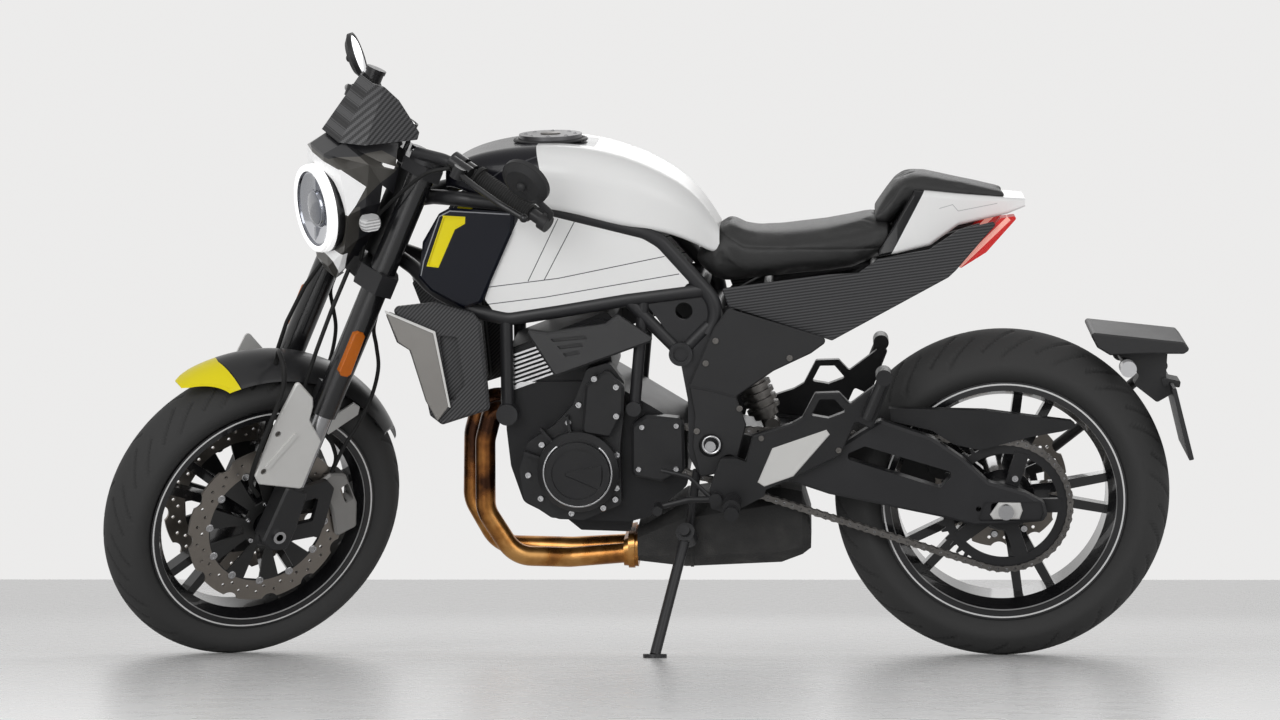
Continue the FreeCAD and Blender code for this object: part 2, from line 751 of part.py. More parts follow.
def bored(name, outer, inner, length, base, direction):
    """Tube object tied to the sheet."""
    body = cylinder(name + "_outside", outer, length, base, direction)
    hole = cylinder(name + "_bore", inner, length + 2, base.sub(Vector(direction) * 1.0), direction)
    tube = doc.addObject("Part::Cut", name)
    tube.Base = body
    tube.Tool = hole
    return tube


def mirrored_pair(label, thing, placement, body):
    """One node holding a piece and its mirror image."""
    twin = doc.addObject("Part::Mirroring", label + "_twin")
    twin.Source = thing
    twin.Base = Vector(0, 0, 0)
    twin.Normal = Vector(0, 1, 0)
    both = doc.addObject("Part::Compound", label)
    both.Links = [thing, twin]
    return keep(label, both, placement, body)


def fork_to_machine(x, y, z):
    """A point of the fork's frame in the upright machine's frame."""
    return fork_frame.multVec(at(x, y, z))


def fork_tubes():
    up = Vector(0, 0, 1)
    leg = -s.leg_spacing / 2
    outer = bored("fork_outer", s.outer_tube_diameter / 2,
                  s.inner_tube_diameter / 2 + s.running_gap,
                  fork_top - s.outer_tube_bottom, at(0, leg, s.outer_tube_bottom), up)
    mirrored_pair("fork_outer_tubes", outer, steering_frame, "steering")


def fork_bottoms():
    """Bright inner tubes with the castings that hold the axle and the calipers."""
    leg = -float(s.leg_spacing) / 2
    tube = Part.makeCylinder(float(s.inner_tube_diameter) / 2, float(s.outer_tube_bottom) + 60,
                             at(0, leg, 40))
    lug = plate([(-28, -20), (0, -32), (30, -24), (32, 20), (25, 96), (-23, 104), (-26, 20)],
                leg - 21, leg + 21, 10)
    lug = eased(lug, 4, leg - 21)
    arm = plate([(10, -24), (44, -16), (98, 6), (104, 28), (92, 108), (72, 120), (22, 92)],
                leg + 8, leg + 20, 8)
    arm = arm.cut(plate([(38, 16), (76, 34), (68, 84), (36, 66)], leg, leg + 30, 6))
    pinch = rod(at(-30, leg, -22), at(34, leg, -22), 9)
    bore = Part.makeCylinder(float(s.front_axle_diameter) / 2 + float(s.running_gap), 120,
                             at(0, leg - 60, 0), Vector(0, 1, 0))
    keep_shape("fork_bottoms", both_sides(union(tube, lug, arm, pinch).cut(bore)),
               steering_frame, "steering")


def front_axle_bar():
    length = s.leg_spacing + s.inner_tube_diameter + 14
    bar = bored("front_axle_tube", s.front_axle_diameter / 2, s.axle_bore_diameter / 2, length,
                at(0, -length / 2, 0), Vector(0, 1, 0))
    keep("front_axle", bar, steering_frame, "steering")


def yoke_body(label, low, depth, front):
    """Yoke outline round both legs and the stem."""
    body = new_body(label)
    leg = s.leg_spacing / 2
    reach = s.outer_tube_diameter / 2 + s.yoke_wall
    profile = ring_profile(body, "XY_Plane", [
        (-reach, leg - reach * 0.6), (-reach * 0.5, leg + reach), (reach * 0.5, leg + reach),
        (reach, leg), (s.fork_offset + front, reach * 0.7), (s.fork_offset + front, -reach * 0.7),
        (reach, -leg), (reach * 0.5, -leg - reach), (-reach * 0.5, -leg - reach),
        (-reach, -leg + reach * 0.6), (-reach * 0.4, -reach), (-reach * 0.4, reach)],
        label + "_profile")
    profile.AttachmentOffset = Placement(at(0, 0, low), Rotation())
    profile.setExpression("AttachmentOffset.Base.z", wording(low))
    pad = body.newObject("PartDesign::Pad", label + "_plate")
    pad.Profile = profile
    bind(pad, "Length", depth)
    doc.recompute()
    for side, name in ((leg, "_right_clamp"), (-leg, "_left_clamp")):
        hole = body.newObject("Sketcher::SketchObject", label + name)
        for feature in body.Origin.OriginFeatures:
            if feature.Role == "XY_Plane":
                hole.AttachmentSupport = [(feature, "")]
        hole.MapMode = "FlatFace"
        hole.addGeometry(Part.Circle(at(0, side, 0), Vector(0, 0, 1),
                                     float(s.outer_tube_diameter) / 2), False)
        spot = hole.addConstraint(Sketcher.Constraint("DistanceY", -1, 1, 0, 3, float(side)))
        hole.setExpression("Constraints[%d]" % spot, side.text)
        hole.addConstraint(Sketcher.Constraint("PointOnObject", 0, 3, -2))
        spot = hole.addConstraint(Sketcher.Constraint(
            "Radius", 0, float(s.outer_tube_diameter) / 2))
        hole.setExpression("Constraints[%d]" % spot, (s.outer_tube_diameter / 2).text)
        cut = body.newObject("PartDesign::Pocket", label + name + "_cut")
        cut.Profile = hole
        cut.SideType = "Symmetric"
        cut.Length = 4000.0
        doc.recompute()
    return body


def yokes():
    lower = yoke_body("lower_yoke_plate", s.lower_yoke_height, s.lower_yoke_depth, 26.0)
    stem = cylinder("steering_stem", s.stem_diameter / 2,
                    s.upper_yoke_height + s.upper_yoke_depth + 8 - s.lower_yoke_height,
                    at(s.fork_offset, 0, s.lower_yoke_height), Vector(0, 0, 1))
    joined = doc.addObject("Part::MultiFuse", "lower_yoke")
    joined.Shapes = [lower, stem]
    keep("lower_yoke", joined, steering_frame, "steering")
    upper = yoke_body("upper_yoke_plate", s.upper_yoke_height, s.upper_yoke_depth, 24.0)
    hole = cylinder("upper_yoke_bore", s.stem_diameter / 2, s.upper_yoke_depth * 3,
                    at(s.fork_offset, 0, s.upper_yoke_height - s.upper_yoke_depth),
                    Vector(0, 0, 1))
    plate_cut = doc.addObject("Part::Cut", "upper_yoke")
    plate_cut.Base = upper
    plate_cut.Tool = hole
    keep("upper_yoke", plate_cut, steering_frame, "steering")


# Handlebar points: the bar leaves its clamp round the leg's top and sweeps back and down
BAR_ROOT = (-30.9, -100.0, 15.3)
BAR_ELBOW = (-8.9, -160.0, 29.7)
BAR_INNER = (19.8, -205.0, 31.8)
BAR_END = (113.1, -352.0, 12.7)
MIRROR = (41.0, -362.0, 74.5)


def above_yoke(spot):
    """A point of the fork's frame given from the top face of the upper yoke."""
    seat = s.upper_yoke_height + s.upper_yoke_depth + s.face_gap
    return at(spot[0], spot[1], seat + spot[2])


def bar_tube(extra):
    """The bent bar, thicker by an amount all round."""
    path = [above_yoke(spot) for spot in (BAR_ROOT, BAR_ELBOW, BAR_INNER, BAR_END)]
    return bent_tube(path, s.bar_diameter + extra * 2, 60)


def handlebars():
    """Clip-on bars: a clamp round each leg above the top yoke and a tube out to the grip."""
    leg = -float(s.leg_spacing) / 2
    seat = float(s.upper_yoke_height) + float(s.upper_yoke_depth)
    seat += float(s.face_gap)
    clamp = Part.makeCylinder(float(s.outer_tube_diameter) / 2 + 9, 15, at(0, leg, seat))
    hole = Part.makeCylinder(float(s.outer_tube_diameter) / 2, 60, at(0, leg, seat - 20))
    riser = rod(at(0, leg - 30, seat + 8), above_yoke(BAR_ROOT).add(at(0, -10, 0)), 8)
    ears = Part.makeBox(16, 14, 15, at(-8, leg + 28, seat))
    one = union(clamp, riser, ears, bar_tube(0)).cut(hole)
    keep_shape("handlebars", both_sides(one), steering_frame, "steering")


def grips():
    inner = above_yoke(BAR_INNER)
    outer = above_yoke(BAR_END)
    way = outer.sub(inner).normalize()
    start = inner.add(way * 22)
    length = 128.0
    sleeve = rod(start, start.add(way * length), float(s.grip_diameter) / 2)
    collar = rod(start, start.add(way * 8), float(s.grip_diameter) / 2 + 5)
    core = rod(inner, outer, float(s.bar_diameter) / 2)
    keep_shape("grips", both_sides(union(sleeve, collar).cut(core)), steering_frame, "steering")


def mirrors():
    """Round mirrors on the bar ends: a plug, a stalk and a domed shell round the glass."""
    end = above_yoke(BAR_END)
    way = end.sub(above_yoke(BAR_INNER)).normalize()
    plug = rod(end.sub(way * 2), end.add(way * 14), float(s.grip_diameter) / 2 - 1)
    hole = rod(end.sub(way * 60), end, float(s.bar_diameter) / 2)
    centre = above_yoke(MIRROR)
    facing = fork_frame.inverse().Rotation.multVec(at(0.8, 0.45, 0.35)).normalize()
    radius = float(s.mirror_diameter) / 2
    rim = rod(centre.sub(facing * 4), centre.add(facing * 5), radius)
    dome = Part.makeCone(radius - 14, radius - 1, 9, centre.sub(facing * 13), facing)
    glass_seat = rod(centre.add(facing * 3), centre.add(facing * 9), radius - 4)
    knuckle = Part.makeSphere(9, centre.sub(facing * 14))
    stalk = bent_tube([end.add(way * 6), end.add(way * 20).add(at(-8, 0, 22)),
                       centre.sub(facing * 14)], 12, 14)
    one = union(plug, stalk, knuckle, dome, rim).cut(glass_seat).cut(hole)
    keep_shape("bar_end_mirrors", both_sides(one), steering_frame, "steering")


def levers():
    """Lever perches with their master cylinders, reservoirs, levers and switch housings."""
    inner = above_yoke(BAR_INNER)
    way = above_yoke(BAR_END).sub(inner).normalize()
    forward = at(-1, 0, 0)
    forward = forward.sub(way * forward.dot(way)).normalize()
    up = way.cross(forward).normalize()
    if up.z < 0:
        up = up * -1
    grip = inner.add(way * 4)
    band = rod(grip.sub(way * 8), grip.add(way * 8), float(s.bar_diameter) / 2 + 6)
    hole = rod(inner.sub(way * 60), inner.add(way * 200), float(s.bar_diameter) / 2)
    pivot = grip.add(forward * 44)
    perch = rod(grip, pivot, 9)
    boss = rod(pivot.sub(up * 11), pivot.add(up * 11), 12)
    blade = [pivot, pivot.add(way * 50).add(forward * 12), pivot.add(way * 110).add(forward * 16),
             pivot.add(way * 158).add(forward * 6)]
    lever = bent_tube(blade, 11, 60)
    ball = Part.makeSphere(8, blade[-1])
    cylinder_start = grip.add(forward * 24).add(up * 6)
    body = rod(cylinder_start.sub(way * 30), cylinder_start.add(way * 14), 11)
    switch = rod(inner.sub(way * 36), inner.sub(way * 9), 19)
    buttons = rod(inner.sub(way * 22), inner.sub(way * 22).add(forward * -25), 7)
    left = union(band, perch, boss, lever, ball, body, switch, buttons)
    left = left.cut(hole).cut(bar_tube(0.1))
    right = mirrored(left)
    pot_base = mirrored(Part.Vertex(cylinder_start)).Vertexes[0].Point
    pot_low = pot_base.add(at(0, -16, 8))
    pot = union(rod(pot_base.sub(at(0, 4, 4)), pot_low, 7),
                rod(pot_low.sub(at(0, 0, 2)), pot_low.add(at(0, 0, 40)), 18),
                rod(pot_low.add(at(0, 0, 38)), pot_low.add(at(0, 0, 46)), 20))
    pot = pot.cut(mirrored(bar_tube(0.1)))
    keep_shape("hand_controls", Part.makeCompound([left, union(right, pot)]), steering_frame,
               "steering")


def lamp_place():
    """The headlight's own frame: x rearwards, z up, its origin in the middle of the ring."""
    return Placement(at(-115, 0, s.lower_yoke_height + 103), Rotation(Vector(0, 1, 0), -s.rake_angle))


def clear_of_yokes(shape):
    """Cut room for both yokes, whose front edges stand ahead of the fork legs."""
    front = -float(s.outer_tube_diameter) / 2 - float(s.yoke_wall) - 1
    for low, depth in ((s.lower_yoke_height, s.lower_yoke_depth),
                       (s.upper_yoke_height, s.upper_yoke_depth)):
        room = Part.makeBox(300, 240, float(depth) + 2, at(front, -120, low - 1))
        shape = shape.cut(room)
    return largest(shape)


def cowl_ring(half):
    """A ring of corners round the cowl from the corners of its left half."""
    left = [at(x, -y, z) for x, y, z in half]
    right = [at(x, y, z) for x, y, z in reversed(half)]
    return left + right


def screen_ring(ends, height, wall):
    """Closed U-shaped wire of the screen at one height: front, side and rear corners."""
    outer = [(x, -y) for x, y in reversed(ends)] + [(x, y) for x, y in ends]
    inner = [(x + wall, y - wall) for x, y in reversed(ends)]
    inner += [(x + wall, wall - y) for x, y in ends]
    corners = [at(x, y, height) for x, y in outer + inner]
    return Part.makePolygon(corners + corners[:1])


def headlight():
    """Round headlight: a drum with its ring and lens, held by pins that end in indicators."""
    radius = float(s.headlight_diameter) / 2
    drum = Part.makeCone(radius, radius * 0.62, 66, at(0, 0, 0), at(1, 0, 0))
    ring = rod(at(0, 0, 0), at(-14, 0, 0), radius)
    lip = Part.makeCone(radius, radius - 5, 5, at(-14, 0, 0), at(-1, 0, 0))
    dish = rod(at(-8, 0, 0), at(-30, 0, 0), radius - 13)
    back = rod(at(60, 0, 0), at(86, 0, 0), 30)
    bulge = rod(at(-7, 0, 0), at(-15, 0, 0), 34)
    pins = rod(at(48, -106, 4), at(48, 106, 4), 6)
    into_lamp = lamp_place().inverse()
    yoke_top = float(s.lower_yoke_height + s.lower_yoke_depth + s.face_gap)
    struts = [bent_tube([at(78, side, 0), into_lamp.multVec(at(-9, side, yoke_top + 50)),
                         into_lamp.multVec(at(-9, side, yoke_top))], 10, 12) for side in (-14, 14)]
    lenses = []
    for side in (-1, 1):
        lens = Part.makeSphere(20, at(46, 114 * side, 4))
        lenses.append(lens.common(Part.makeBox(60, 26, 24, at(16, 114 * side - 13, -8))))
    shape = union(union(drum, ring, lip).cut(dish), back, bulge, pins, struts, lenses)
    keep_shape("headlight", shape, steering_frame.multiply(lamp_place()), "steering")


def headlight_cowl():
    """Faceted shell round the headlight, open behind, between the fork legs."""
    front = [(-8, 30, 118), (4, 74, 98), (12, 92, 16), (10, 78, -60), (0, 26, -110)]
    middle = [(30, 34, 135), (66, 68, 98), (50, 86, 24), (36, 76, -44), (16, 24, -138)]
    rear = [(140, 36, 118), (126, 66, 74), (112, 68, 20), (92, 68, -30), (36, 24, -128)]
    shell = faceted([cowl_ring(front), cowl_ring(middle), cowl_ring(rear)])
    inside = [[(x + 4, y - 4, z * 0.965) for x, y, z in ring] for ring in (front, middle, rear)]
    inside[2] = [(x + 30, y, z) for x, y, z in inside[2]]
    cavity = faceted([cowl_ring(ring) for ring in inside])
    radius = float(s.headlight_diameter) / 2 + float(s.face_gap)
    opening = rod(at(-40, 0, 0), at(14, 0, 0), radius)
    drum_room = Part.makeCone(radius, radius * 0.62, 66, at(0, 0, 0), at(1, 0, 0))
    pin_room = rod(at(48, -120, 4), at(48, 120, 4), 6 + float(s.face_gap))
    shape = shell.cut(cavity).cut(opening).cut(drum_room).cut(pin_room)
    shape.Placement = lamp_place()
    keep_shape("headlight_cowl", clear_of_yokes(shape.copy()), steering_frame, "steering")


def fly_screen():
    """Screen folded round the instrument, on two arms from the top yoke."""
    wall = float(s.panel_thickness)
    shell = loft([screen_ring([(18, 38), (56, 72), (162, 86)], 138, wall),
                  screen_ring([(92, 26), (108, 46), (172, 62)], 240, wall)], True)
    shell = shell.common(plate([(10, 139), (92, 239), (108, 236), (130, 212), (161, 152),
                                (156, 139)], -100, 100, 3))
    shell.Placement = lamp_place()
    arms = [bent_tube([lamp_place().multVec(at(44, side * 1.5, 172)), above_yoke((-8, side, 24)),
                       above_yoke((-8, side, 0))], 9, 12) for side in (-20, 20)]
    keep_shape("fly_screen", union(shell.copy(), arms), steering_frame, "steering")


def instrument():
    """Round instrument behind the screen on a post from the top yoke."""
    seat = above_yoke((-14, 0, 0))
    centre = above_yoke((-47, 0, 38))
    up = fork_frame.inverse().Rotation.multVec(at(0.5, 0, 0.86)).normalize()
    pod = rod(centre, centre.add(up * 18), 48)
    face = rod(centre.add(up * 16), centre.add(up * 20), 44)
    post = rod(seat, centre.add(up * 4), 9)
    keep_shape("instrument", union(pod.cut(face), post), steering_frame, "steering")


def front_fender():
    """Fender: a crowned shell over the tyre, pointed in plan, with stays to both fork legs."""
    crown = float(s.front_crown_radius)
    size = float(s.front_tyre_diameter) / 2
    middle = size + 16 - (crown + 8)
    corners = []
    for radius in (crown + 8, crown + 12):
        for turn in (-math.radians(56), 0, math.radians(56)):
            corners.append(at(middle + radius * math.cos(turn), radius * math.sin(turn), 0))
    edges = [Part.Arc(*corners[:3]).toShape(), Part.LineSegment(corners[2], corners[5]).toShape(),
             Part.Arc(*corners[3:]).toShape(), Part.LineSegment(corners[3], corners[0]).toShape()]
    profile = Part.Face(Part.Wire(Part.__sortEdges__(edges)))
    profile.rotate(Vector(0, 0, 0), Vector(0, 1, 0), -38)
    arch = profile.revolve(Vector(0, 0, 0), Vector(0, 1, 0), -102)
    arch.translate(at(-14, 0, 8))
    plan = Part.Face(outline([(-0.9 * size, 0), (-0.82 * size, -24), (-0.5 * size, -80),
                              (0.5 * size, -80), (0.7 * size, -20), (0.78 * size, 0),
                              (0.7 * size, 20), (0.5 * size, 80), (-0.5 * size, 80),
                              (-0.82 * size, 24)]))
    plan.rotate(Vector(0, 0, 0), Vector(1, 0, 0), 90)
    arch = arch.common(plan.extrude(Vector(0, 0, 3 * size)))
    leg = float(s.leg_spacing) / 2
    inner_face = leg - float(s.outer_tube_diameter) / 2
    stays = []
    for side in (-1, 1):
        stay = Part.makeBox(34, 18, 40, at(-17, side * (inner_face - 2.5) - 9, size - 34))
        room = Part.makeCylinder(float(s.outer_tube_diameter) / 2 + float(s.face_gap), 200,
                                 at(0, side * leg, size - 100))
        stays.append(largest(stay.cut(room)))
    keep_shape("front_fender", union(arch, stays), steering_frame, "steering")


def fork_guards():
    """Guard plates on the fork bottoms with a folded front edge."""
    face = [(-94, 310), (-49, 284), (-41, 267), (-37, 240), (4, 205), (4, 104), (-86, 95),
            (-101, 109), (-103, 211)]
    leg = float(s.leg_spacing) / 2 + float(s.inner_tube_diameter) / 2 + float(s.face_gap)
    guard = eased(plate(face, -leg - 6, -leg, 7), 2.5, -leg - 6)
    rib = plate([(-90, 130), (-58, 210), (-50, 208), (-82, 128)], -leg - 9, -leg - 5, 3)
    holes = [rod(at(a, -leg - 20, b), at(a, -leg + 5, b), 6) for a, b in ((-88, 122), (-90, 200))]
    guard = union(guard, rib).cut(Part.makeCompound(holes))
    keep_shape("fork_guards", both_sides(guard), steering_frame, "steering")


def front_calipers():
    """Radial calipers behind the fork bottoms, astride the discs."""
    disc = float(s.front_disc_spacing) / 2
    outer = -float(s.leg_spacing) / 2 + 20 + float(s.face_gap)
    body = plate([(62, 104), (80, 130), (112, 136), (162, 84), (182, 36), (148, 6), (116, 56),
                  (88, 88)], outer, -disc + 20, 8)
    body = eased(body, 4, outer)
    window = plate([(112, 104), (138, 78), (150, 92), (124, 120)], outer - 5, -disc + 30, 4)
    slot = Part.makeCylinder(float(s.front_disc_diameter) / 2 + 4, 14,
                             Vector(0, -disc - 7, 0), Vector(0, 1, 0))
    keep_shape("front_calipers", both_sides(largest(body.cut(slot).cut(window))), steering_frame,
               "steering")


def brake_hoses():
    """Two hoses from the lower yoke over the fender to the calipers."""
    path = [at(-37, -45, 520), at(-48, -62, 440), at(-50, -70.5, 360), at(-44, -70.5, 280),
            at(0, -70.5, 226), at(60, -70.5, 190), at(84, -70.5, 160), at(84, -70.5, 131.8)]
    hose = bent_tube(path, 8, 60)
    keep_shape("brake_hoses", both_sides(hose), steering_frame, "steering")


def steering_group():
    fork_tubes()
    fork_bottoms()
    front_axle_bar()
    yokes()
    handlebars()
    grips()
    mirrors()
    levers()
    headlight()
    headlight_cowl()
    fly_screen()
    instrument()
    front_fender()
    fork_guards()
    front_calipers()
    brake_hoses()


# Chassis, drawn in the upright machine's frame

def head_span():
    """The ends of the frame's steering head up the fork, between the yokes."""
    return float(s.lower_yoke_height + s.lower_yoke_depth) + 8, float(s.upper_yoke_height) - 8


def side_tubes(extra):
    """The left upper and lower frame tubes, thicker by an amount all round."""
    wide = -float(s.frame_half_width)
    thick = float(s.frame_tube_diameter) + 2 * extra
    low, high = head_span()
    upper = bent_tube([fork_to_machine(s.fork_offset + 12, -12, low + 0.64 * (high - low)),
                       at(380, -60, 905), at(425, wide, 910),
                       at(600, wide, 888), at(778, wide, 841), at(807, wide, 823),
                       at(900, wide, 716), at(905, wide, 680), at(890, wide, 650)], thick, 60)
    lower = bent_tube([fork_to_machine(s.fork_offset + 8, -12, low + 0.11 * (high - low)),
                       at(340, -65, 772), at(380, wide, 742),
                       at(455, wide, 699), at(520, wide, 684), at(613, wide, 697),
                       at(741, wide, 717), at(880, wide, 733)], thick, 60)
    return [upper, lower]


def clear_of_tubes(shape):
    """Left-side piece cut back to seat on the frame tubes."""
    for tube in side_tubes(float(s.face_gap)):
        shape = shape.cut(tube)
    return shape


def main_frame():
    """Trellis frame: steering head, upper and lower side tubes, diagonals and pivot plates."""
    wide = -float(s.frame_half_width)
    thick = float(s.frame_tube_diameter)
    low, high = head_span()
    head = rod(fork_to_machine(s.fork_offset, 0, low), fork_to_machine(s.fork_offset, 0, high),
               float(s.head_tube_diameter) / 2)
    bore = rod(fork_to_machine(s.fork_offset, 0, low - 5),
               fork_to_machine(s.fork_offset, 0, high + 5),
               float(s.stem_diameter) / 2 + float(s.running_gap))
    upper, lower = side_tubes(0)
    engine_face = -float(s.engine_half_width) - float(s.face_gap)
    down = rod(at(516, wide, 686), at(513, wide, 504), thick / 2 - 2)
    boss = rod(at(513, wide - 18, 504), at(513, engine_face, 504), 20)
    second = rod(at(772, wide, 716), at(750, wide, 512), thick / 2 - 3)
    second_boss = rod(at(749, wide - 15, 512), at(749, engine_face, 512), 14)
    diagonal = rod(at(746, wide, 712), at(836, wide, 618), thick / 2 - 2)
    strut = rod(at(839, wide, 615), at(893, wide, 668), thick / 2 - 2)
    rear_boss = rod(at(839, wide - 18, 615), at(839, wide + 16, 615), 22)
    dimple = rod(at(839, wide - 22, 615), at(839, wide - 13, 615), 14)
    gusset = plate([(766, 724), (838, 622), (896, 672), (884, 730)], wide - 4, wide + 4)
    gusset = gusset.cut(rod(at(846, wide - 20, 694), at(846, wide + 20, 694), 16))
    side = [upper, lower, down, boss, second, second_boss, diagonal, strut, rear_boss, gusset]
    back = plate([(838, 600), (902, 664), (925, 640), (940, 529), (953, 481), (927, 394),
                  (871, 379), (850, 420), (850, 528)], wide - 8, wide + 6, 14)
    studs = [rod(at(x, wide - 8, z), at(x, wide - 14, z), 8) for x, z in
             ((880, 560), (888, 404), (930, 500))]
    side.extend([back] + studs)
    cross = [rod(at(x, wide, z), at(x, -wide, z), r) for x, z, r in
             ((905, 680, 14), (880, 733, 12))]
    pivot_bore = rod(at(s.pivot_x, -200, s.pivot_z), at(s.pivot_x, 200, s.pivot_z),
                     float(s.pivot_bolt_diameter) / 2 + float(s.running_gap))
    half = union(side).cut(dimple)
    keep_shape("main_frame", union(half, mirrored(half), head, cross, stand_bracket())
               .cut(bore).cut(pivot_bore), stance, "frame")


def engine():
    """Upright twin engine: crankcase, sump, slanted finned barrels and head in one casting."""
    wide = float(s.engine_half_width)
    case = plate([(508, 470), (514, 400), (536, 330), (600, 296), (735, 290), (772, 300),
                  (846, 360), (846, 470), (760, 524), (700, 560), (530, 560), (508, 520)],
                 -wide, wide, 20)
    sump = plate([(600, 300), (640, 266), (735, 262), (735, 300)], -70, 70, 6)
    barrel = plate([(532, 540), (712, 560), (700, 680), (520, 620)], 7 - wide, wide - 7, 10)
    head = plate([(508, 618), (700, 690), (716, 672), (716, 640), (520, 598)], 12 - wide,
                 wide - 12, 10)
    fins = []
    for index in range(8):
        low = 546 + 8.5 * index
        fins.append(plate([(516, low), (706, low + 64), (705, low + 67.5), (515, low + 3.5)],
                          1 - wide, wide - 1))
    pads = [rod(at(x, 1 - wide, z), at(x, wide - 1, z), 11) for x, z in ((600, 618), (700, 650))]
    pocket = Part.Face(belt_outline(12)).extrude(Vector(0, -60, 0))
    pocket.translate(Vector(0, 12 - float(s.chain_offset), 0))
    sprocket = rod(at(s.front_sprocket_x, -80, s.front_sprocket_z),
                   at(s.front_sprocket_x, -105, s.front_sprocket_z), 16)
    wheel_half = float(s.chain_inner_width) / 2 - float(s.face_gap)
    toothed = rod(at(s.front_sprocket_x, -float(s.chain_offset) - wheel_half, s.front_sprocket_z),
                  at(s.front_sprocket_x, -float(s.chain_offset) + wheel_half, s.front_sprocket_z),
                  float(s.front_sprocket_radius) + 3)
    blocks = union(case, sump, barrel, head, fins, pads)
    keep_shape("engine", union(blocks.cut(pocket), sprocket, toothed), stance, "frame")


def engine_covers():
    """Generator cover on the left, clutch cover on the right and the gearbox sprocket cover."""
    seat = float(s.engine_half_width) + float(s.face_gap)
    flange = plate([(532, 398), (540, 340), (590, 305), (650, 300), (722, 330), (722, 440),
                    (731, 508), (733, 562), (706, 600), (664, 588), (636, 520), (600, 482),
                    (550, 450)], -130, -seat, 12)
    drum = rod(at(644, -120, 397), at(644, -152, 397), 76)
    shoulder = Part.makeCone(76, 66, 10, at(644, -152, 397), at(0, -1, 0))
    cap = rod(at(644, -160, 397), at(644, -170, 397), 60)
    dish = rod(at(644, -167, 397), at(644, -175, 397), 48)
    tower = plate([(652, 470), (706, 460), (731, 508), (734, 558), (703, 590), (662, 560)],
                  -150, -125, 10)
    tower = eased(tower, 5, -150)
    left = union(flange, drum, shoulder, cap, tower).cut(dish)
    ribs = []
    for angle in (200, 230, 260):
        rib = Part.makeBox(34, 14, 5, at(72, -146, -2.5))
        rib.rotate(Vector(0, 0, 0), Vector(0, 1, 0), angle)
        rib.translate(at(644, 0, 397))
        ribs.append(rib)
    left = union(left, ribs)
    shield = plate([(744, 480), (772, 500), (842, 492), (842, 392), (800, 372), (742, 384)],
                   -134, -seat, 14)
    shield = eased(shield, 5, -134)
    room = Part.Face(belt_outline(12)).extrude(Vector(0, -60, 0))
    room.translate(Vector(0, 44 - float(s.chain_offset), 0))
    right = rod(at(690, seat, 410), at(690, 140, 410), 98)
    crown = Part.makeCone(92, 80, 14, at(690, 140, 410), at(0, 1, 0))
    rings = [rod(at(690, 150, 410), at(690, 158, 410), 62), rod(at(690, 150, 410), at(690, 162, 410), 20)]
    water = union(rod(at(580, seat, 370), at(580, 140, 370), 40),
                  rod(at(580, 130, 370), at(580, 152, 370), 22))
    keep_shape("engine_covers", Part.makeCompound(
        [left, largest(shield.cut(room)), union(right, crown, rings, water)]), stance, "frame")


def radiator():
    core = plate([(404, 680), (440, 680), (450, 526), (414, 526)], -160, 160, 4)
    caps = []
    for side in (-1, 1):
        tank = plate([(400, 684), (444, 684), (454, 522), (410, 522)], min(side * 132, side * 160),
                     max(side * 132, side * 160), 6)
        caps.append(tank)
    post = clear_of_tubes(rod(at(424, -120, 670), at(424, -120, 725), 8)).Solids[0]
    keep_shape("radiator", union(core, caps, post, mirrored(post)), stance, "frame")


def radiator_shrouds():
    """Side shrouds of the radiator: a backing panel, a bright plate and a deep scoop."""
    low = -160 - float(s.face_gap)
    back = plate([(312, 716), (392, 724), (460, 703), (474, 684), (486, 522), (396, 494),
                  (374, 512), (366, 560)], -176, low, 8)
    back = eased(back, 5, -176)
    scoop = plate([(397, 664), (430, 660), (442, 574), (414, 532), (404, 600)], -190, low - 4, 5)
    front = plate([(298, 712), (390, 672), (414, 530), (389, 500), (368, 542), (342, 637),
                   (319, 652)], -183, -172, 5)
    front = eased(front, 2.5, -183)
    keep_shape("radiator_shrouds", both_sides(union(back.cut(scoop), front)), stance, "frame")


def fuel_tank():
    """Tank shell above the frame tubes, lofted through cross-sections."""
    wires = [section(408, 84, 925, 958, 8, 20), section(460, 120, 915, 984, 10, 36),
             section(530, 138, 900, 998, 12, 60), section(640, 150, 882, 1000, 14, 66),
             section(740, 142, 855, 978, 14, 66), section(820, 122, 836, 940, 12, 58),
             section(880, 92, 806, 888, 12, 44), section(912, 74, 796, 838, 8, 18)]
    shell = loft(wires)
    neck = Part.makeCylinder(46, 46, at(s.cap_x, 0, s.cap_z - 46), Vector(0, 0, 1))
    room = Part.makeCylinder(float(s.cap_diameter) / 2 + 6, 60, at(s.cap_x, 0, s.cap_z))
    mouth = Part.makeCylinder(float(s.neck_bore_diameter) / 2 + 3, float(s.mouth_depth) + 1,
                              at(s.cap_x, 0, s.cap_z - s.mouth_depth))
    bore = Part.makeCylinder(float(s.neck_bore_diameter) / 2, float(s.neck_depth) + 50,
                             at(s.cap_x, 0, s.cap_z - float(s.neck_depth)), Vector(0, 0, 1))
    body = union(shell, neck).cut(bore).cut(room).cut(mouth)
    for tube in side_tubes(float(s.face_gap)):
        body = body.cut(tube).cut(mirrored(tube))
    keep_shape("fuel_tank", body, stance, "frame")
    return body


def fuel_cap():
    """Hinged cap flap with its boss in the filler neck."""
    flap = Part.makeCylinder(float(s.cap_diameter) / 2, 9,
                             at(s.cap_x, 0, s.cap_z + s.face_gap), Vector(0, 0, 1))
    plug = Part.makeCylinder(float(s.neck_bore_diameter) / 2 - 5, 8,
                             at(s.cap_x, 0, s.cap_z - 6), Vector(0, 0, 1))
    keep_shape("fuel_cap", union(flap, plug), stance, "fuel_cap")


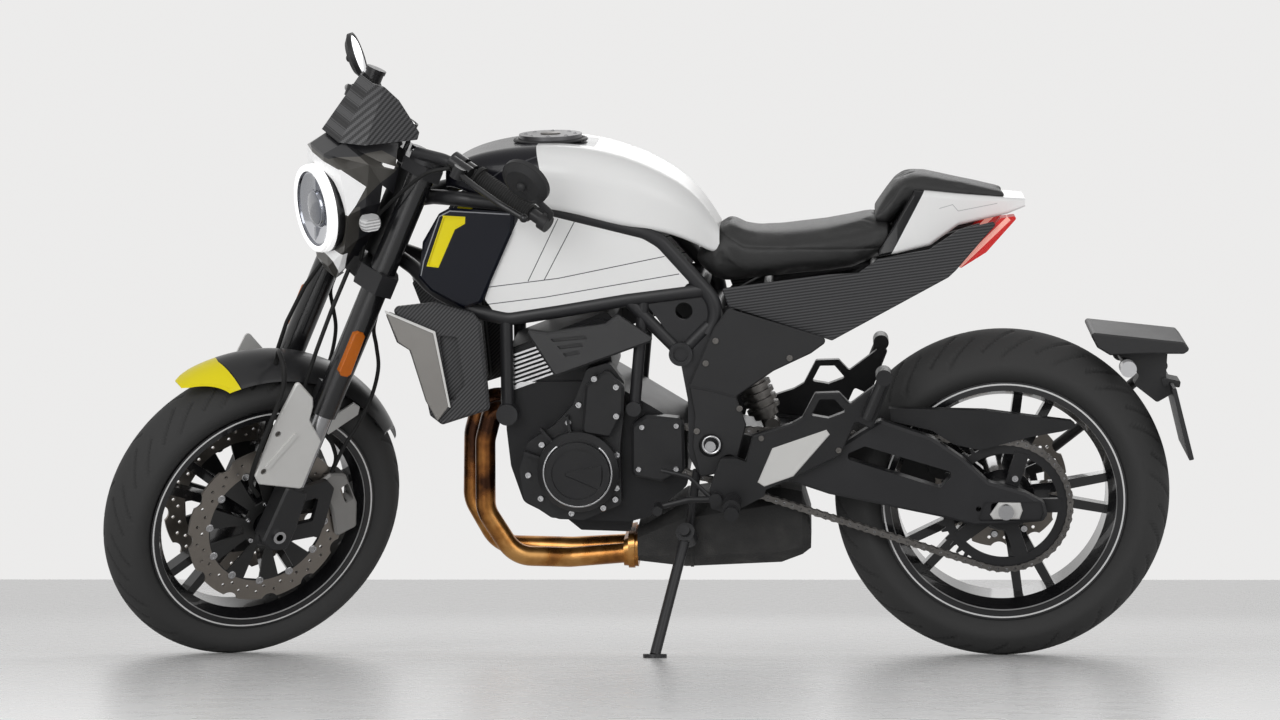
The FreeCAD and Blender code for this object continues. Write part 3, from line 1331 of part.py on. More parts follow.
def side_panels():
    """White panels below the upper frame tubes."""
    face = [(541, 884), (592, 884), (786, 834), (860, 752), (842, 734), (613, 700), (500, 690),
            (478, 722)]
    panel = clear_of_tubes(plate(face, -129, -129 + float(s.panel_thickness), 6))
    keep_shape("side_panels", both_sides(largest(panel)), stance, "frame")


def front_covers():
    """Scoops in front of the tank, beside the steering head."""
    outer = -float(s.frame_half_width) - float(s.frame_tube_diameter) / 2 - float(s.face_gap)
    cover = plate([(361, 783), (368, 832), (400, 884), (420, 894), (539, 884), (534, 847),
                   (473, 717), (440, 706), (380, 740), (358, 766)], outer - 8, outer, 8)
    cover = eased(cover, 5, outer - 8)
    mouth = plate([(376, 788), (394, 786), (430, 858), (446, 866), (446, 876), (410, 879)],
                  outer - 20, outer - 4, 4)
    keep_shape("front_covers", both_sides(cover.cut(mouth)), stance, "frame")


def intake_covers():
    """Wedge covers over the intakes with three slots each."""
    cover = plate([(552, 668), (593, 661), (702, 676), (725, 693), (794, 644), (759, 632),
                   (606, 578)], -152, -136, 6)
    cover = eased(cover, 4, -152)
    for low, left, right in ((652, 600, 664), (638, 612, 656), (624, 622, 650)):
        slot = plate([(left, low - 2), (right, low + 4), (right + 4, low - 3), (left + 5, low - 8)],
                     -160, -146)
        cover = cover.cut(slot)
    studs = [rod(at(x, -138, z), at(x, 1 - float(s.engine_half_width) - float(s.face_gap), z), 7)
             for x, z in ((600, 618), (700, 650))]
    keep_shape("intake_covers", both_sides(union(cover, studs)), stance, "frame")


SUBFRAME_LUGS = ((1000.0, 722.0), (1200.0, 748.0))
LAMP_INSIDE = 75.0
ARM_RECESS = 5.0


def by_axle(*points):
    """Side-view points given from the rear axle, as x-z pairs of the machine."""
    return [(float(s.wheelbase) + x, float(rear_axle_z) + z) for x, z in points]


def behind_tyre(*points):
    """Side-view points that keep their distance ahead of the rear tyre as it grows."""
    grow = float(s.rear_tyre_diameter) / 630.0
    return [(float(s.wheelbase) + x * grow, float(rear_axle_z) + z * grow) for x, z in points]


def seat(tank):
    """Rider's cushion and the pad on the tail hump."""
    cushion = loft([section(864, 64, 778, 797, 6, 8, -4), section(888, 78, 750, 817, 8, 16, -6),
                    section(912, 86, 738, 838, 10, 20, -6), section(928, 90, 738, 849, 12, 22, -8),
                    section(940, 93, 739, 847, 12, 24, -8), section(954, 97, 741, 834, 12, 24, -10),
                    section(978, 103, 744, 827, 12, 24, -10), section(1030, 111, 749, 829, 12, 26, -8),
                    section(1110, 114, 757, 838, 12, 26, -8), section(1168, 104, 764, 849, 12, 24, -8),
                    section(1212, 90, 790, 858, 8, 16, -6)], True)
    pad = loft([section(1203, 80, 846, 858, 5, 6), section(1226, 80, 838, 894, 8, 16),
                section(1246, 79, 846, 925, 8, 18), section(1256, 78, 856, 932, 8, 18),
                section(1292, 74, 872, 929, 8, 14), section(1380, 64, 874, 908, 6, 8),
                section(1446, 54, 874, 891, 3, 4)], True)
    cushion = clear_of(cushion, tank, (1, 0, 0), (0, 0, -1), (1, 0, -1))
    cowl = tail_cowl_shape()
    pad = clear_of(pad, cowl, (0, 0, 1), (-1, 0, 0), (-1, 0, 1))
    cushion = clear_of(cushion, cowl, (-1, 0, 0), (0, 0, 1))
    pad = clear_of(largest(pad), largest(cushion), (0, 0, 1), (1, 0, 0))
    keep_shape("seat", Part.makeCompound([largest(cushion), largest(pad)]), stance, "frame")


def clear_of(shape, other, *ways):
    """Cut a piece back from its neighbour by the face gap in the named directions."""
    for way in ways:
        shape = shape.cut(other.translated(at(*way) * float(s.face_gap)))
    return shape


def tail_cowl_shape():
    """Tail shell: its front edge slants back and its top and lower edges meet at the tip."""
    return loft([section(1206, 88, 786, 798, 4, 5, -10), section(1240, 88, 791, 852, 6, 10, -10),
                 section(1272, 84, 798, 906, 8, 12, -12), section(1300, 82, 804, 903, 8, 12, -12),
                 section(1352, 74, 839, 896, 8, 12, -8), section(1443, 58, 857, 886, 5, 8, -6),
                 section(1476, 50, 869, 883, 3, 5, -4)], True)


def tail():
    """Tail cowl, its side panels and the lamp."""
    cowl = tail_cowl_shape()
    keep_shape("tail_cowl", cowl, stance, "frame")
    face = [(916, 734), (1110, 757), (1168, 760), (1204, 785), (1297, 801), (1350, 836), (1427, 854),
            (1394, 818), (1346, 762), (1332, 749), (1118, 634), (928, 700)]
    panel = eased(plate(face, -120, -114, 5), 2, -120)
    lugs = [rod(at(x, -115, z), at(x, -84 - 11 - float(s.face_gap), z), 6)
            for x, z in SUBFRAME_LUGS]
    keep_shape("tail_panels", both_sides(union(panel, lugs)), stance, "frame")
    lamp = [(1429, 856), (1462, 860), (1402, 793), (1344, 757), (1362, 788)]
    lens = plate(lamp, -106, -LAMP_INSIDE, 4)
    lens = largest(clear_of(lens, cowl, (0, 0, -1), (0, -1, 0)))
    lens = largest(clear_of(lens, panel, (0, 1, 0), (0, -1, 0), (1, 0, 0)))
    keep_shape("tail_lights", both_sides(lens), stance, "frame")


def subframe():
    """Seat rails with their braces and cross tubes behind the frame's rear cross tube."""
    rail = bent_tube([at(919.3, -84, 680), at(1000, -84, 722), at(1200, -84, 748),
                      at(1400, -60, 812)], 22, 80)
    brace = rod(at(925, -90, 560), at(1180, -84, 744), 10)
    foot = rod(at(925, -float(s.frame_half_width) + 6 + float(s.face_gap), 560),
               at(925, -80, 560), 10)
    cross = [rod(at(x, -84, z), at(x, 84, z), 9) for x, z in SUBFRAME_LUGS]
    lamp_seat = LAMP_INSIDE - float(s.face_gap)
    tip = rod(at(1390, -lamp_seat, 808), at(1390, lamp_seat, 808), 9)
    half = [rail, brace, foot]
    whole = union(half, [mirrored(piece) for piece in half], cross, tip)
    cross_tube = rod(at(905, -130, 680), at(905, 130, 680), 14 + float(s.face_gap))
    keep_shape("subframe", largest(whole.cut(cross_tube)), stance, "frame")


def pivot_covers():
    """Covers over the frame's pivot plates with a round opening for the pivot bolt."""
    inner = -float(s.frame_half_width) - 14 - float(s.face_gap)
    cover = plate([(928, 700), (1115, 640), (1079, 614), (1010, 582), (940, 534), (958, 481),
                   (936, 398), (870, 382), (857, 440), (862, 500), (853, 556), (901, 664)],
                  inner - 5, inner, 8)
    cover = eased(cover, 2.5, inner - 5)
    cut = rod(at(s.pivot_x, -300, s.pivot_z), at(s.pivot_x, 300, s.pivot_z), 22)
    crease = plate([(852, 558), (900, 548), (940, 536), (940, 531), (900, 543), (852, 553)],
                   inner - 8, inner - 3)
    peg_mount = rod(at(925, -300, 412), at(925, 0, 412), 14)
    cover = cover.cut(cut).cut(peg_mount).cut(crease)
    keep_shape("pivot_covers", both_sides(largest(cover)), stance, "frame")


def swingarm():
    """Two-sided cast swingarm with its window, axle slots and pivot tube."""
    side = [(964, 400), (1109, 349)]
    side += by_axle((-112, -13), (-60, -28), (-15, -28), (69, -21), (77, -9), (72, 13), (37, 33),
                    (-31, 54), (-79, 100), (-135, 139))
    side += [(1205, 488), (1113, 430), (964, 448)]
    window = [(1176, 440)] + by_axle((-94, 73), (-120, 44)) + [(1130, 420)]
    half = float(s.arm_thickness) / 2
    middle = -float(s.arm_offset)
    arm = plate(side, middle - half, middle + half, 10)
    arm = eased(arm, 5, middle - half)
    arm = arm.cut(plate(window, middle - 60, middle + 60, 8))
    slot = plate(by_axle((-27, -14), (27, -14), (27, 14), (-27, 14)), middle - 60, middle + 60, 6)
    recess = plate(by_axle((-52, -19), (64, -19), (70, -6), (66, 17), (-40, 17)),
                   middle - half - 5, middle - half + ARM_RECESS, 6)
    arm = arm.cut(slot).cut(recess)
    boss = rod(at(s.pivot_x, -90, s.pivot_z), at(s.pivot_x, 90, s.pivot_z), 30)
    bridge = plate([(964, 448), (964, 402), (1040, 378), (1050, 412), (1030, 436)], middle,
                   -middle, 6)
    neck = plate([(900, 466), (900, 416), (980, 404), (980, 444)], -86, 86, 4)
    bore = rod(at(s.pivot_x, -300, s.pivot_z), at(s.pivot_x, 300, s.pivot_z),
               float(s.pivot_bolt_diameter) / 2 + float(s.running_gap))
    face = -float(s.arm_offset) - half
    spot_x, spot_z = by_axle((s.bobbin_x - s.wheelbase, s.bobbin_z - rear_axle_z))[0]
    bobbin = rod(at(spot_x, face - 1, spot_z),
                 at(spot_x, face + float(s.bobbin_bore_depth), spot_z),
                 float(s.bobbin_bore_diameter) / 2)
    arm = arm.cut(bobbin)
    whole = union(arm, mirrored(arm), boss, bridge, neck).cut(bore)
    keep_shape("swingarm", whole.copy(), stance, "frame")
    return whole


def rear_axle_bar():
    length = 2 * float(s.arm_offset) + float(s.arm_thickness) + 30
    bar = cylinder("rear_axle_bar", s.rear_axle_diameter / 2, length,
                   at(s.wheelbase, -length / 2, rear_axle_z), Vector(0, 1, 0))
    keep("rear_axle", bar, stance.multiply(bar.Placement), "frame")


def pivot_bolt():
    bar = cylinder("pivot_bolt_bar", s.pivot_bolt_diameter / 2, 300,
                   at(s.pivot_x, -150, s.pivot_z), Vector(0, 1, 0))
    keep("pivot_bolt", bar, stance.multiply(bar.Placement), "frame")


def chain_guard():
    """Guard over the upper chain run, bent inwards along its top."""
    face = by_axle((-213, 190), (-35, 184), (122, 162), (133, 152), (105, 143), (46, 133),
                   (-46, 109), (-95, 121), (-134, 147), (-209, 166))
    outer = -float(s.arm_offset) + float(s.arm_thickness) / 2 + float(s.face_gap)
    web = plate(face, outer, outer + 4, 5)
    top = plate(by_axle((-213, 190), (-35, 184), (122, 162), (129, 156), (-35, 176), (-211, 182)),
                outer, outer + 20)
    keep_shape("chain_guard", union(web, top), stance, "frame")


def rear_shock(arm):
    """Shock absorber: damper body and a coil spring as rings on a tube."""
    low = at(1004, 0, 440)
    high = at(912, 0, 676)
    way = high.sub(low).normalize()
    damper = rod(low, high, 14)
    eye = rod(at(1004, -16, 452), at(1004, 16, 452), 14)
    rings = [rod(low.add(way * (44 + 15 * index)), low.add(way * (52 + 15 * index)), 32)
             for index in range(9)]
    body = rod(low.add(way * 30), low.add(way * 182), 24)
    whole = union(damper, body, eye, rings)
    whole = clear_of(whole, arm, (0, 0, 1), (0, 0, 0))
    cross_tube = rod(at(905, -130, 680), at(905, 130, 680), 14 + float(s.face_gap))
    keep_shape("rear_shock", largest(whole.cut(cross_tube)), stance, "frame")


def plate_holder():
    """Rear mudguard, number plate bracket and indicators on an arm from the swingarm."""
    guard = plate(behind_tyre((157, 321), (331, 300), (343, 286), (331, 278), (264, 279),
                              (196, 277), (172, 292)), -78, 78, 6)
    guard = eased(eased(guard, 3, -78), 3, 78)
    bracket = plate(behind_tyre((200, 282), (308, 281), (305, 223), (325, 196), (289, 175),
                                (245, 210), (256, 227)), -18, 18, 6)
    blade = plate(behind_tyre((309, 215), (317, 215), (351, 80), (342, 78)), -85, 85, 2)
    lamp = plate(behind_tyre((296, 224), (332, 216), (330, 204), (300, 208)), -24, 24, 3)
    spot = behind_tyre((228, 254))[0]
    stalk = rod(at(spot[0], -70, spot[1]), at(spot[0], 70, spot[1]), 7)
    lenses = [rod(at(spot[0], 66 * side, spot[1]), at(spot[0], 96 * side, spot[1]), 15)
              for side in (-1, 1)]
    seat = float(s.arm_offset) + float(s.arm_thickness) / 2 - ARM_RECESS + float(s.face_gap)
    arm = bent_tube([at(s.wheelbase + 45, seat, rear_axle_z - 3),
                     at(s.wheelbase + 45, 168, rear_axle_z - 3)]
                    + [at(x, y, z) for (x, z), y in
                       zip(behind_tyre((205, 125), (300, 225), (300, 241)), (164, 110, 0))], 20, 40)
    keep_shape("plate_holder", union(guard, bracket, blade, lamp, stalk, lenses, arm), stance,
               "frame")


def exhaust():
    """Twin header pipes, their joiner with its clamp and the muffler box below the engine."""
    size = s.header_diameter
    left = bent_tube([at(507.7, -60, 497), at(478, -60, 497), at(462, -60, 440), at(458, -60, 304),
                      at(511, -56, 213), at(614, -40, 205), at(728, -34, 212)], size, 60)
    right = bent_tube([at(507.7, 60, 497), at(446, 60, 497), at(426, 60, 430), at(420, 60, 298),
                       at(470, 54, 206),
                       at(614, 40, 205), at(728, 34, 212)], size, 60)
    joiner = loft([section(718, 58, 188, 238, 20, 20), section(745.7, 58, 186, 250, 20, 20)])
    clamp = loft([section(727, 62, 184, 250, 22, 22), section(739, 62, 184, 252, 22, 22)])
    collars = [rod(at(501, y, 497), at(507.7, y, 497), 27) for y in (-60, 60)]
    keep_shape("header_pipes", union(left, right, joiner, clamp, collars), stance, "frame")
    end = float(s.wheelbase - s.rear_tyre_diameter / 2) - 46
    box = loft([cut_corners(746, 72, 202, 264, 14), cut_corners(838, 90, 192, 318, 26),
                cut_corners(end - 56, 90, 199, 344, 26), cut_corners(end - 16, 86, 214, 336, 22),
                cut_corners(end, 78, 226, 280, 16)], True)
    rib = loft([cut_corners(846, 91.5, 191, 300, 26), cut_corners(852, 91.5, 191, 302, 26)], True)
    keep_shape("muffler", union(box, rib), stance, "frame")


def foot_rests():
    """Hanger plates with the rider's and the passenger's pegs."""
    hanger = plate([(950, 399), (970, 466), (1043, 489), (1062, 500), (1086, 545), (1130, 546),
                    (1150, 524), (1206, 566), (1226, 566), (1190, 476), (1160, 490), (1131, 427),
                    (1045, 386), (989, 362)], -168, -150, 5)
    hanger = eased(hanger, 3, -168)
    window = plate([(1078, 504), (1094, 534), (1122, 534), (1142, 510), (1110, 498)], -180, -140, 3)
    rider = rod(at(931, -150, 345), at(931, -250, 338), float(s.peg_diameter) / 2)
    grooves = [rod(at(931, y, 345), at(931, y - 3, 345), float(s.peg_diameter) / 2 + 3)
               for y in (-182, -194, -206, -218, -230)]
    arm = plate([(890, 330), (924, 318), (990, 352), (1000, 400), (940, 424), (910, 424),
                 (888, 366)], -168, -150, 6)
    mount = rod(at(925, -152, 412), at(925, -float(s.frame_half_width) - 8 - float(s.face_gap), 412),
                10)
    joint = rod(at(1212, -150, 578), at(1212, -196, 578), 15)
    passenger = rod(at(1212, -184, 576), at(1180, -184, 500), 11)
    whole = union(hanger.cut(window), arm, mount, rider, grooves, joint, passenger)
    keep_shape("foot_rests", both_sides(whole), stance, "frame")


def foot_levers():
    """Gear lever on the left and brake lever on the right, each with its toe piece."""
    hub = rod(at(900, -168 - float(s.face_gap), 350), at(900, -188, 350), 12)
    bar = bent_tube([at(900, -180, 350), at(850, -182, 350), at(790, -184, 336)], 12, 30)
    link = bent_tube([at(892, -178, 352), at(852, -176, 392), at(800, -172, 404)], 8, 20)
    toe = rod(at(794, -180, 337), at(794, -216, 337), 9)
    pad = rod(at(794, 180, 337), at(794, 214, 337), 13)
    keep_shape("foot_levers", Part.makeCompound(
        [union(hub, bar, toe, link), union(mirrored(hub), mirrored(bar), pad)]), stance, "frame")


def rear_caliper():
    """Rear caliper above the swingarm's right side, astride its disc."""
    offset = float(s.rear_disc_offset)
    body = plate(by_axle((-135, 15), (-135, 85), (-65, 125), (-50, 96), (-55, 45), (-95, 5)),
                 offset - 24, float(s.arm_offset) - float(s.arm_thickness) / 2
                 - float(s.face_gap), 10)
    slot = Part.makeCylinder(float(s.rear_disc_diameter) / 2 + 4, 14,
                             at(s.wheelbase, offset - 7, rear_axle_z), Vector(0, 1, 0))
    keep_shape("rear_caliper", body.cut(slot), stance, "frame")


def side_stand():
    """Side stand: fork end on its bolt, a leg and a flat foot on the ground."""
    pivot = at(s.stand_x, -s.stand_y, s.stand_z)
    down = stance.inverse()
    ground = stance.multVec(at(s.stand_foot_x, -s.stand_foot_y, 0))
    foot = Vector(ground.x, ground.y, 0)
    pad = Part.makeCylinder(22, 7, foot, Vector(0, 0, 1))
    pad.Placement = down.multiply(pad.Placement)
    ankle = down.multVec(foot.add(Vector(0, 0, 5)))
    leg = rod(pivot, ankle, float(s.stand_bar_diameter) / 2)
    hub = rod(pivot.sub(stand_axis() * 12), pivot.add(stand_axis() * 12), 18)
    hole = rod(pivot.sub(stand_axis() * 30), pivot.add(stand_axis() * 30),
               6 + float(s.running_gap))
    keep_shape("side_stand", union(leg, pad, hub).cut(hole), stance, "side_stand")


def stand_axis():
    """Direction of the stand's bolt: square to the leg both down and folded back."""
    pivot = at(s.stand_x, -s.stand_y, s.stand_z)
    ground = stance.multVec(at(s.stand_foot_x, -s.stand_foot_y, 0))
    foot = stance.inverse().multVec(Vector(ground.x, ground.y, 5))
    down = foot.sub(pivot).normalize()
    folded = Vector(0.97, -0.1, 0.1).normalize()
    return down.cross(folded).normalize()


def stand_bracket():
    """Lug below the left pivot plate with the side stand's bolt."""
    pivot = at(s.stand_x, -s.stand_y, s.stand_z)
    axis = stand_axis()
    bolt = rod(pivot.sub(axis * 20), pivot.add(axis * 20), 6)
    head = rod(pivot.add(axis * (12 + s.face_gap)), pivot.add(axis * 20), 10)
    ear = rod(pivot.sub(axis * (12 + s.face_gap)), pivot.sub(axis * 24), 18)
    rise = Vector(0, 0, 1).sub(axis * axis.z).normalize()
    knee = pivot.sub(axis * 21).add(rise * 22)
    web = rod(pivot.sub(axis * 21), knee, 8)
    strut = rod(knee, at(864, -s.frame_half_width - 3, 392), 8)
    return union(bolt, head, ear, web, Part.makeSphere(8, knee), strut)


def chassis():
    main_frame()
    engine()
    engine_covers()
    radiator()
    radiator_shrouds()
    tank = fuel_tank()
    fuel_cap()
    side_panels()
    front_covers()
    intake_covers()
    seat(tank)
    tail()
    subframe()
    pivot_covers()
    arm = swingarm()
    rear_axle_bar()
    pivot_bolt()
    chain_guard()
    rear_shock(arm)
    plate_holder()
    exhaust()
    foot_rests()
    foot_levers()
    rear_caliper()


# The whole machine

def build():
    front_wheel()
    rear_wheel()
    drive_chain()
    steering_group()
    chassis()
    side_stand()
    doc.recompute()


def check():
    """Stop on any failed object before writing a file."""
    for thing in doc.Objects:
        for word in ("Invalid", "Error"):
            if word in thing.State:
                raise RuntimeError("%s is %s" % (thing.Label, word))
    for label, (thing, _) in nodes.items():
        if thing.Shape.isNull() or not thing.Shape.isValid():
            raise RuntimeError("%s has no valid shape" % label)


def centre_on_origin():
    """Move the machine so that the middle of its base is the origin."""
    box = FreeCAD.BoundBox()
    for thing, _ in nodes.values():
        box.add(thing.Shape.optimalBoundingBox())
    shift = Placement(Vector(-box.Center.x, -box.Center.y, 0), Rotation())
    for thing, _ in nodes.values():
        thing.Placement = shift.multiply(thing.Placement)
    doc.recompute()
    return shift, box


def write():
    os.makedirs("parts", exist_ok=True)
    for label, (thing, _) in nodes.items():
        thing.Shape.exportStep("parts/%s.step" % label)


build()
check()
shift, box = centre_on_origin()
check()
write()
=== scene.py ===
from functools import partialmethod, reduce
import json
import math
from operator import and_, or_

import bmesh
import bpy
import numpy as np
from mathutils import Matrix, Vector


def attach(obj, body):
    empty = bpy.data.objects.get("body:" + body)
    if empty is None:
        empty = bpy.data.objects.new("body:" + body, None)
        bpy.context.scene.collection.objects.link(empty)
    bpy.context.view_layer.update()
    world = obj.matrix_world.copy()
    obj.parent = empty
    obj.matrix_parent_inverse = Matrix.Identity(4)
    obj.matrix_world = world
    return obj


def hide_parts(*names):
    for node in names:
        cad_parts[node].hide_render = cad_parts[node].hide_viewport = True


bl_info = {
    "name": "Cafe Racer Motorcycle",
    "version": (1, 0, 0),
    "blender": (4, 5, 0),
    "location": "View3D > Sidebar > Motorcycle",
    "description": "Finishes, tread, seat, chain and small parts of a parked motorcycle",
    "category": "Add Mesh",
}

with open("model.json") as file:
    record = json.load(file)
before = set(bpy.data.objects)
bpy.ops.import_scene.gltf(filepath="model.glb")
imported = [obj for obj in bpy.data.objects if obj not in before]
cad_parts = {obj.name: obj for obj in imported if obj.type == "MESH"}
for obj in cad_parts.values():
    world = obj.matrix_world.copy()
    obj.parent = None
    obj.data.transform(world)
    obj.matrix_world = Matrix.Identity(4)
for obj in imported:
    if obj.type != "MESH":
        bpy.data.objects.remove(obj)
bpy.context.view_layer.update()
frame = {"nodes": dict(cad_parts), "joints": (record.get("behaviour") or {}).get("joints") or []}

# Driving sizes in millimetres, with places in the frames below

MM = 0.001
RAKE = math.radians(24.5)
WHEELBASE = 1435.0
REAR_RADIUS = 315.0
FRONT_RADIUS = 300.0
FLANGE_RADIUS = 224.0
BEAD_RADIUS = 229.4
LEG_Y = 97.0
INNER_TUBE_RADIUS = 20.5
FORK_TOP = 782.0
YOKE_FACE = 766.3
LAMP_CENTRE = (-115.0, 0.0, 611.0)
SHAFT = (800.0, 437.0)
CHAIN_RADII = (121.4, 36.0)
CHAIN_LINE = -103.0
CHAIN_PITCH = 15.88

# The seat's seam falls to the rear of the bend and rises in front of it
SEAM_LEVEL, SEAM_FALL, SEAM_BEND, SEAM_RISE = 822.5, 0.0179, 958.0, 0.55

SIDES = (("left", -1), ("right", 1))


# Frames: the upright machine's (x rearwards, y to its right, z up from the ground), the fork's
# (z up the legs from the front axle) and the lamp's (level, at the ring), all in millimetres

def joint(name):
    return next(row for row in frame["joints"] if row["name"] == name)


def frame_matrix(x_axis, y_axis, z_axis, origin):
    """Matrix from a frame in millimetres to the scene in metres."""
    turn = Matrix((x_axis, y_axis, z_axis)).transposed()
    return Matrix.Translation(origin) @ (turn * MM).to_4x4()


def machine_matrix():
    """The upright machine's frame, from its rear axle and its steering axis."""
    y_axis = Vector(joint("rear_wheel_spin")["axis"])
    up_fork = Vector(joint("steering")["axis"])
    across = y_axis.cross(up_fork)
    x_axis = up_fork * math.sin(RAKE) + across * math.cos(RAKE)
    z_axis = up_fork * math.cos(RAKE) - across * math.sin(RAKE)
    axle = Vector(joint("rear_wheel_spin")["pos_m"])
    origin = axle - (x_axis * WHEELBASE + z_axis * REAR_RADIUS) * MM
    return frame_matrix(x_axis, y_axis, z_axis, origin)


def fork_matrix():
    """The fork's frame, from the front axle and the steering axis."""
    y_axis = Vector(joint("front_wheel_spin")["axis"])
    z_axis = Vector(joint("steering")["axis"])
    origin = Vector(joint("front_wheel_spin")["pos_m"])
    return frame_matrix(y_axis.cross(z_axis), y_axis, z_axis, origin)


MACHINE = machine_matrix()
FORK = fork_matrix()
REAR = MACHINE @ Matrix.Translation((WHEELBASE, 0, REAR_RADIUS))
LAMP = FORK @ Matrix.Translation(LAMP_CENTRE) @ Matrix.Rotation(-RAKE, 4, "Y")


def about(matrix, centre, way):
    """A frame at a point of another frame, with its y axis along a direction."""
    y_axis = Vector(way).normalized()
    helper = Vector((0, 0, 1)) if abs(y_axis.z) < 0.9 else Vector((1, 0, 0))
    x_axis = y_axis.cross(helper).normalized()
    turn = Matrix((x_axis, y_axis, x_axis.cross(y_axis))).transposed().to_4x4()
    return matrix @ Matrix.Translation(centre) @ turn


def placed(points, matrix):
    """Points of a frame as points of the space that the frame is in."""
    turn = np.array(matrix.to_3x3())
    return np.asarray(points, float) @ turn.T + np.array(matrix.translation)


# Meshes from arrays

def grid_faces(rows, columns, wrap_rows, wrap_columns):
    """Four-cornered faces between the points of a grid."""
    row = np.arange(rows if wrap_rows else rows - 1)[:, None]
    column = np.arange(columns if wrap_columns else columns - 1)[None, :]
    next_row = (row + 1) % rows
    next_column = (column + 1) % columns
    corners = [row * columns + column, next_row * columns + column,
               next_row * columns + next_column, row * columns + next_column]
    return np.stack(np.broadcast_arrays(*corners), axis=-1).reshape(-1, 4)


def add_piece(name, points, faces, material, body, matrix, smooth=True, tidy=True):
    """A mesh piece from points of a frame and lists of faces, riding on a body.

    Tidying merges doubled points, such as those at poles, and turns every face outwards.
    """
    mesh = bpy.data.meshes.new(name)
    corners = placed(np.reshape(points, (-1, 3)), matrix).tolist()
    mesh.from_pydata(corners, [], [list(face) for face in faces])
    if tidy:
        work = bmesh.new()
        work.from_mesh(mesh)
        bmesh.ops.remove_doubles(work, verts=work.verts, dist=1e-7)
        bmesh.ops.recalc_face_normals(work, faces=work.faces)
        work.to_mesh(mesh)
        work.free()
    mesh.update()
    if smooth:
        mesh.shade_smooth()
    else:
        mesh.shade_flat()
    mesh.materials.append(material)
    piece = bpy.data.objects.new(name, mesh)
    bpy.context.scene.collection.objects.link(piece)
    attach(piece, body)
    return piece


def repeat_faces(faces, count, points_each):
    """The same faces for each of several copies laid end to end in one array of points."""
    steps = np.arange(count) * points_each
    return [[corner + step for corner in face] for step in steps for face in faces]


def with_mirror(points, faces):
    """Points and faces with their mirror image on the machine's other side."""
    flipped = [[corner + len(points) for corner in reversed(face)] for face in faces]
    return np.concatenate([points, points * (1, -1, 1)]), list(faces) + flipped


def slab(name, corners, material, body, matrix, front, back, edge, both=True):
    """Plate with a bevelled front from an outline in the x-z plane.

    The bevel moves each corner inwards by (n1 + n2) / (1 + n1 . n2) times its width, where n1
    and n2 are the inward normals of the corner's two sides.
    """
    outline = np.array(corners, float)
    into = outline - np.roll(outline, 1, axis=0)
    away = np.roll(outline, -1, axis=0) - outline
    into /= np.linalg.norm(into, axis=1, keepdims=True)
    away /= np.linalg.norm(away, axis=1, keepdims=True)
    first = np.stack([-into[:, 1], into[:, 0]], axis=1)
    second = np.stack([-away[:, 1], away[:, 0]], axis=1)
    shared_length = 1 + np.sum(first * second, axis=1, keepdims=True)
    inset = outline + (first + second) / shared_length * edge
    slope = edge if back > front else -edge
    rings = [(inset, front), (outline, front + slope), (outline, back)]
    points = np.concatenate([np.insert(ring, 1, y, axis=1) for ring, y in rings])
    size = len(outline)
    faces = grid_faces(3, size, False, True).tolist()
    faces += [list(range(size)), list(range(3 * size - 1, 2 * size - 1, -1))]
    if both:
        points, faces = with_mirror(points, faces)
    return add_piece(name, points, faces, material, body, matrix, smooth=False)


def turned(reach, along, angle):
    """Points (reach cos u, along, reach sin u) round the y axis."""
    return np.stack(np.broadcast_arrays(reach * np.cos(angle), along, reach * np.sin(angle)),
                    axis=-1)


def around(radius, y, count, first=0.0):
    """Places evenly round the y axis at one radius and one y."""
    return turned(radius, y, np.radians(first) + np.arange(count) * 2 * math.pi / count)


def lathe(name, profile, material, body, matrix, count=48, turn=(0.0, 360.0)):
    """Closed profile of (radius, along) points turned round the frame's y axis.

    A part turn is closed by its two end profiles.
    """
    profile = np.array(profile, float)
    size = len(profile)
    whole = turn[1] - turn[0] >= 360.0
    angles = np.radians(np.linspace(*turn, count, endpoint=not whole))[:, None]
    points = turned(profile[:, 0], profile[:, 1], angles)
    faces = grid_faces(count, size, whole, True).tolist()
    if not whole:
        last = count * size
        faces += [list(range(size)), list(range(last - 1, last - size - 1, -1))]
    return add_piece(name, points, faces, material, body, matrix)


def turned_row(name, profile, places, material, body, matrix, count=12):
    """Copies of a small open turned profile at places, pointing away from the middle."""
    profile = np.array(profile, float)
    angles = np.arange(count)[:, None] * 2 * math.pi / count
    ring = turned(profile[:, 0], profile[:, 1], angles).reshape(-1, 3)
    spots = np.array(places, float)
    outwards = np.insert(np.ones((len(spots), 2)), 1, np.sign(spots[:, 1]), axis=1)
    points = ring * outwards[:, None] + spots[:, None]
    faces = grid_faces(count, len(profile), True, False).tolist()
    return add_piece(name, points, repeat_faces(faces, len(spots), len(ring)), material, body,
                     matrix, smooth=False)


def screws(name, places, material, body, matrix, radius, height, both=False, hollow=0.5):
    """Screw heads at (x, y, z) places: a round head with a chamfer and a socket."""
    outline = [(0, 0), (1, 0), (1, 0.75), (0.86, 1), (hollow, 1), (hollow, 0.4), (0, 0.4)]
    if both:
        places = np.concatenate([places, np.multiply(places, (1, -1, 1))])
    return turned_row(name, np.multiply(outline, (radius, height)), places, material, body,
                      matrix)


def smooth_path(points, count):
    """Points on the Catmull-Rom curve through given points.

    Between points b and c, with a before and d after, it is
    b + (c-a)t/2 + (2a-5b+4c-d)t^2/2 + (3b-a-3c+d)t^3/2.
    """
    spots = np.array(points, float)
    spots = np.concatenate([[2 * spots[0] - spots[1]], spots, [2 * spots[-1] - spots[-2]]])
    along = np.linspace(0, len(points) - 1 - 1e-9, count)
    index = along.astype(int)
    step = (along - index)[:, None]
    a, b, c, d = (spots[index + offset] for offset in range(4))
    return (b + (c - a) * step / 2 + (2 * a - 5 * b + 4 * c - d) * step ** 2 / 2
            + (3 * b - a - 3 * c + d) * step ** 3 / 2)


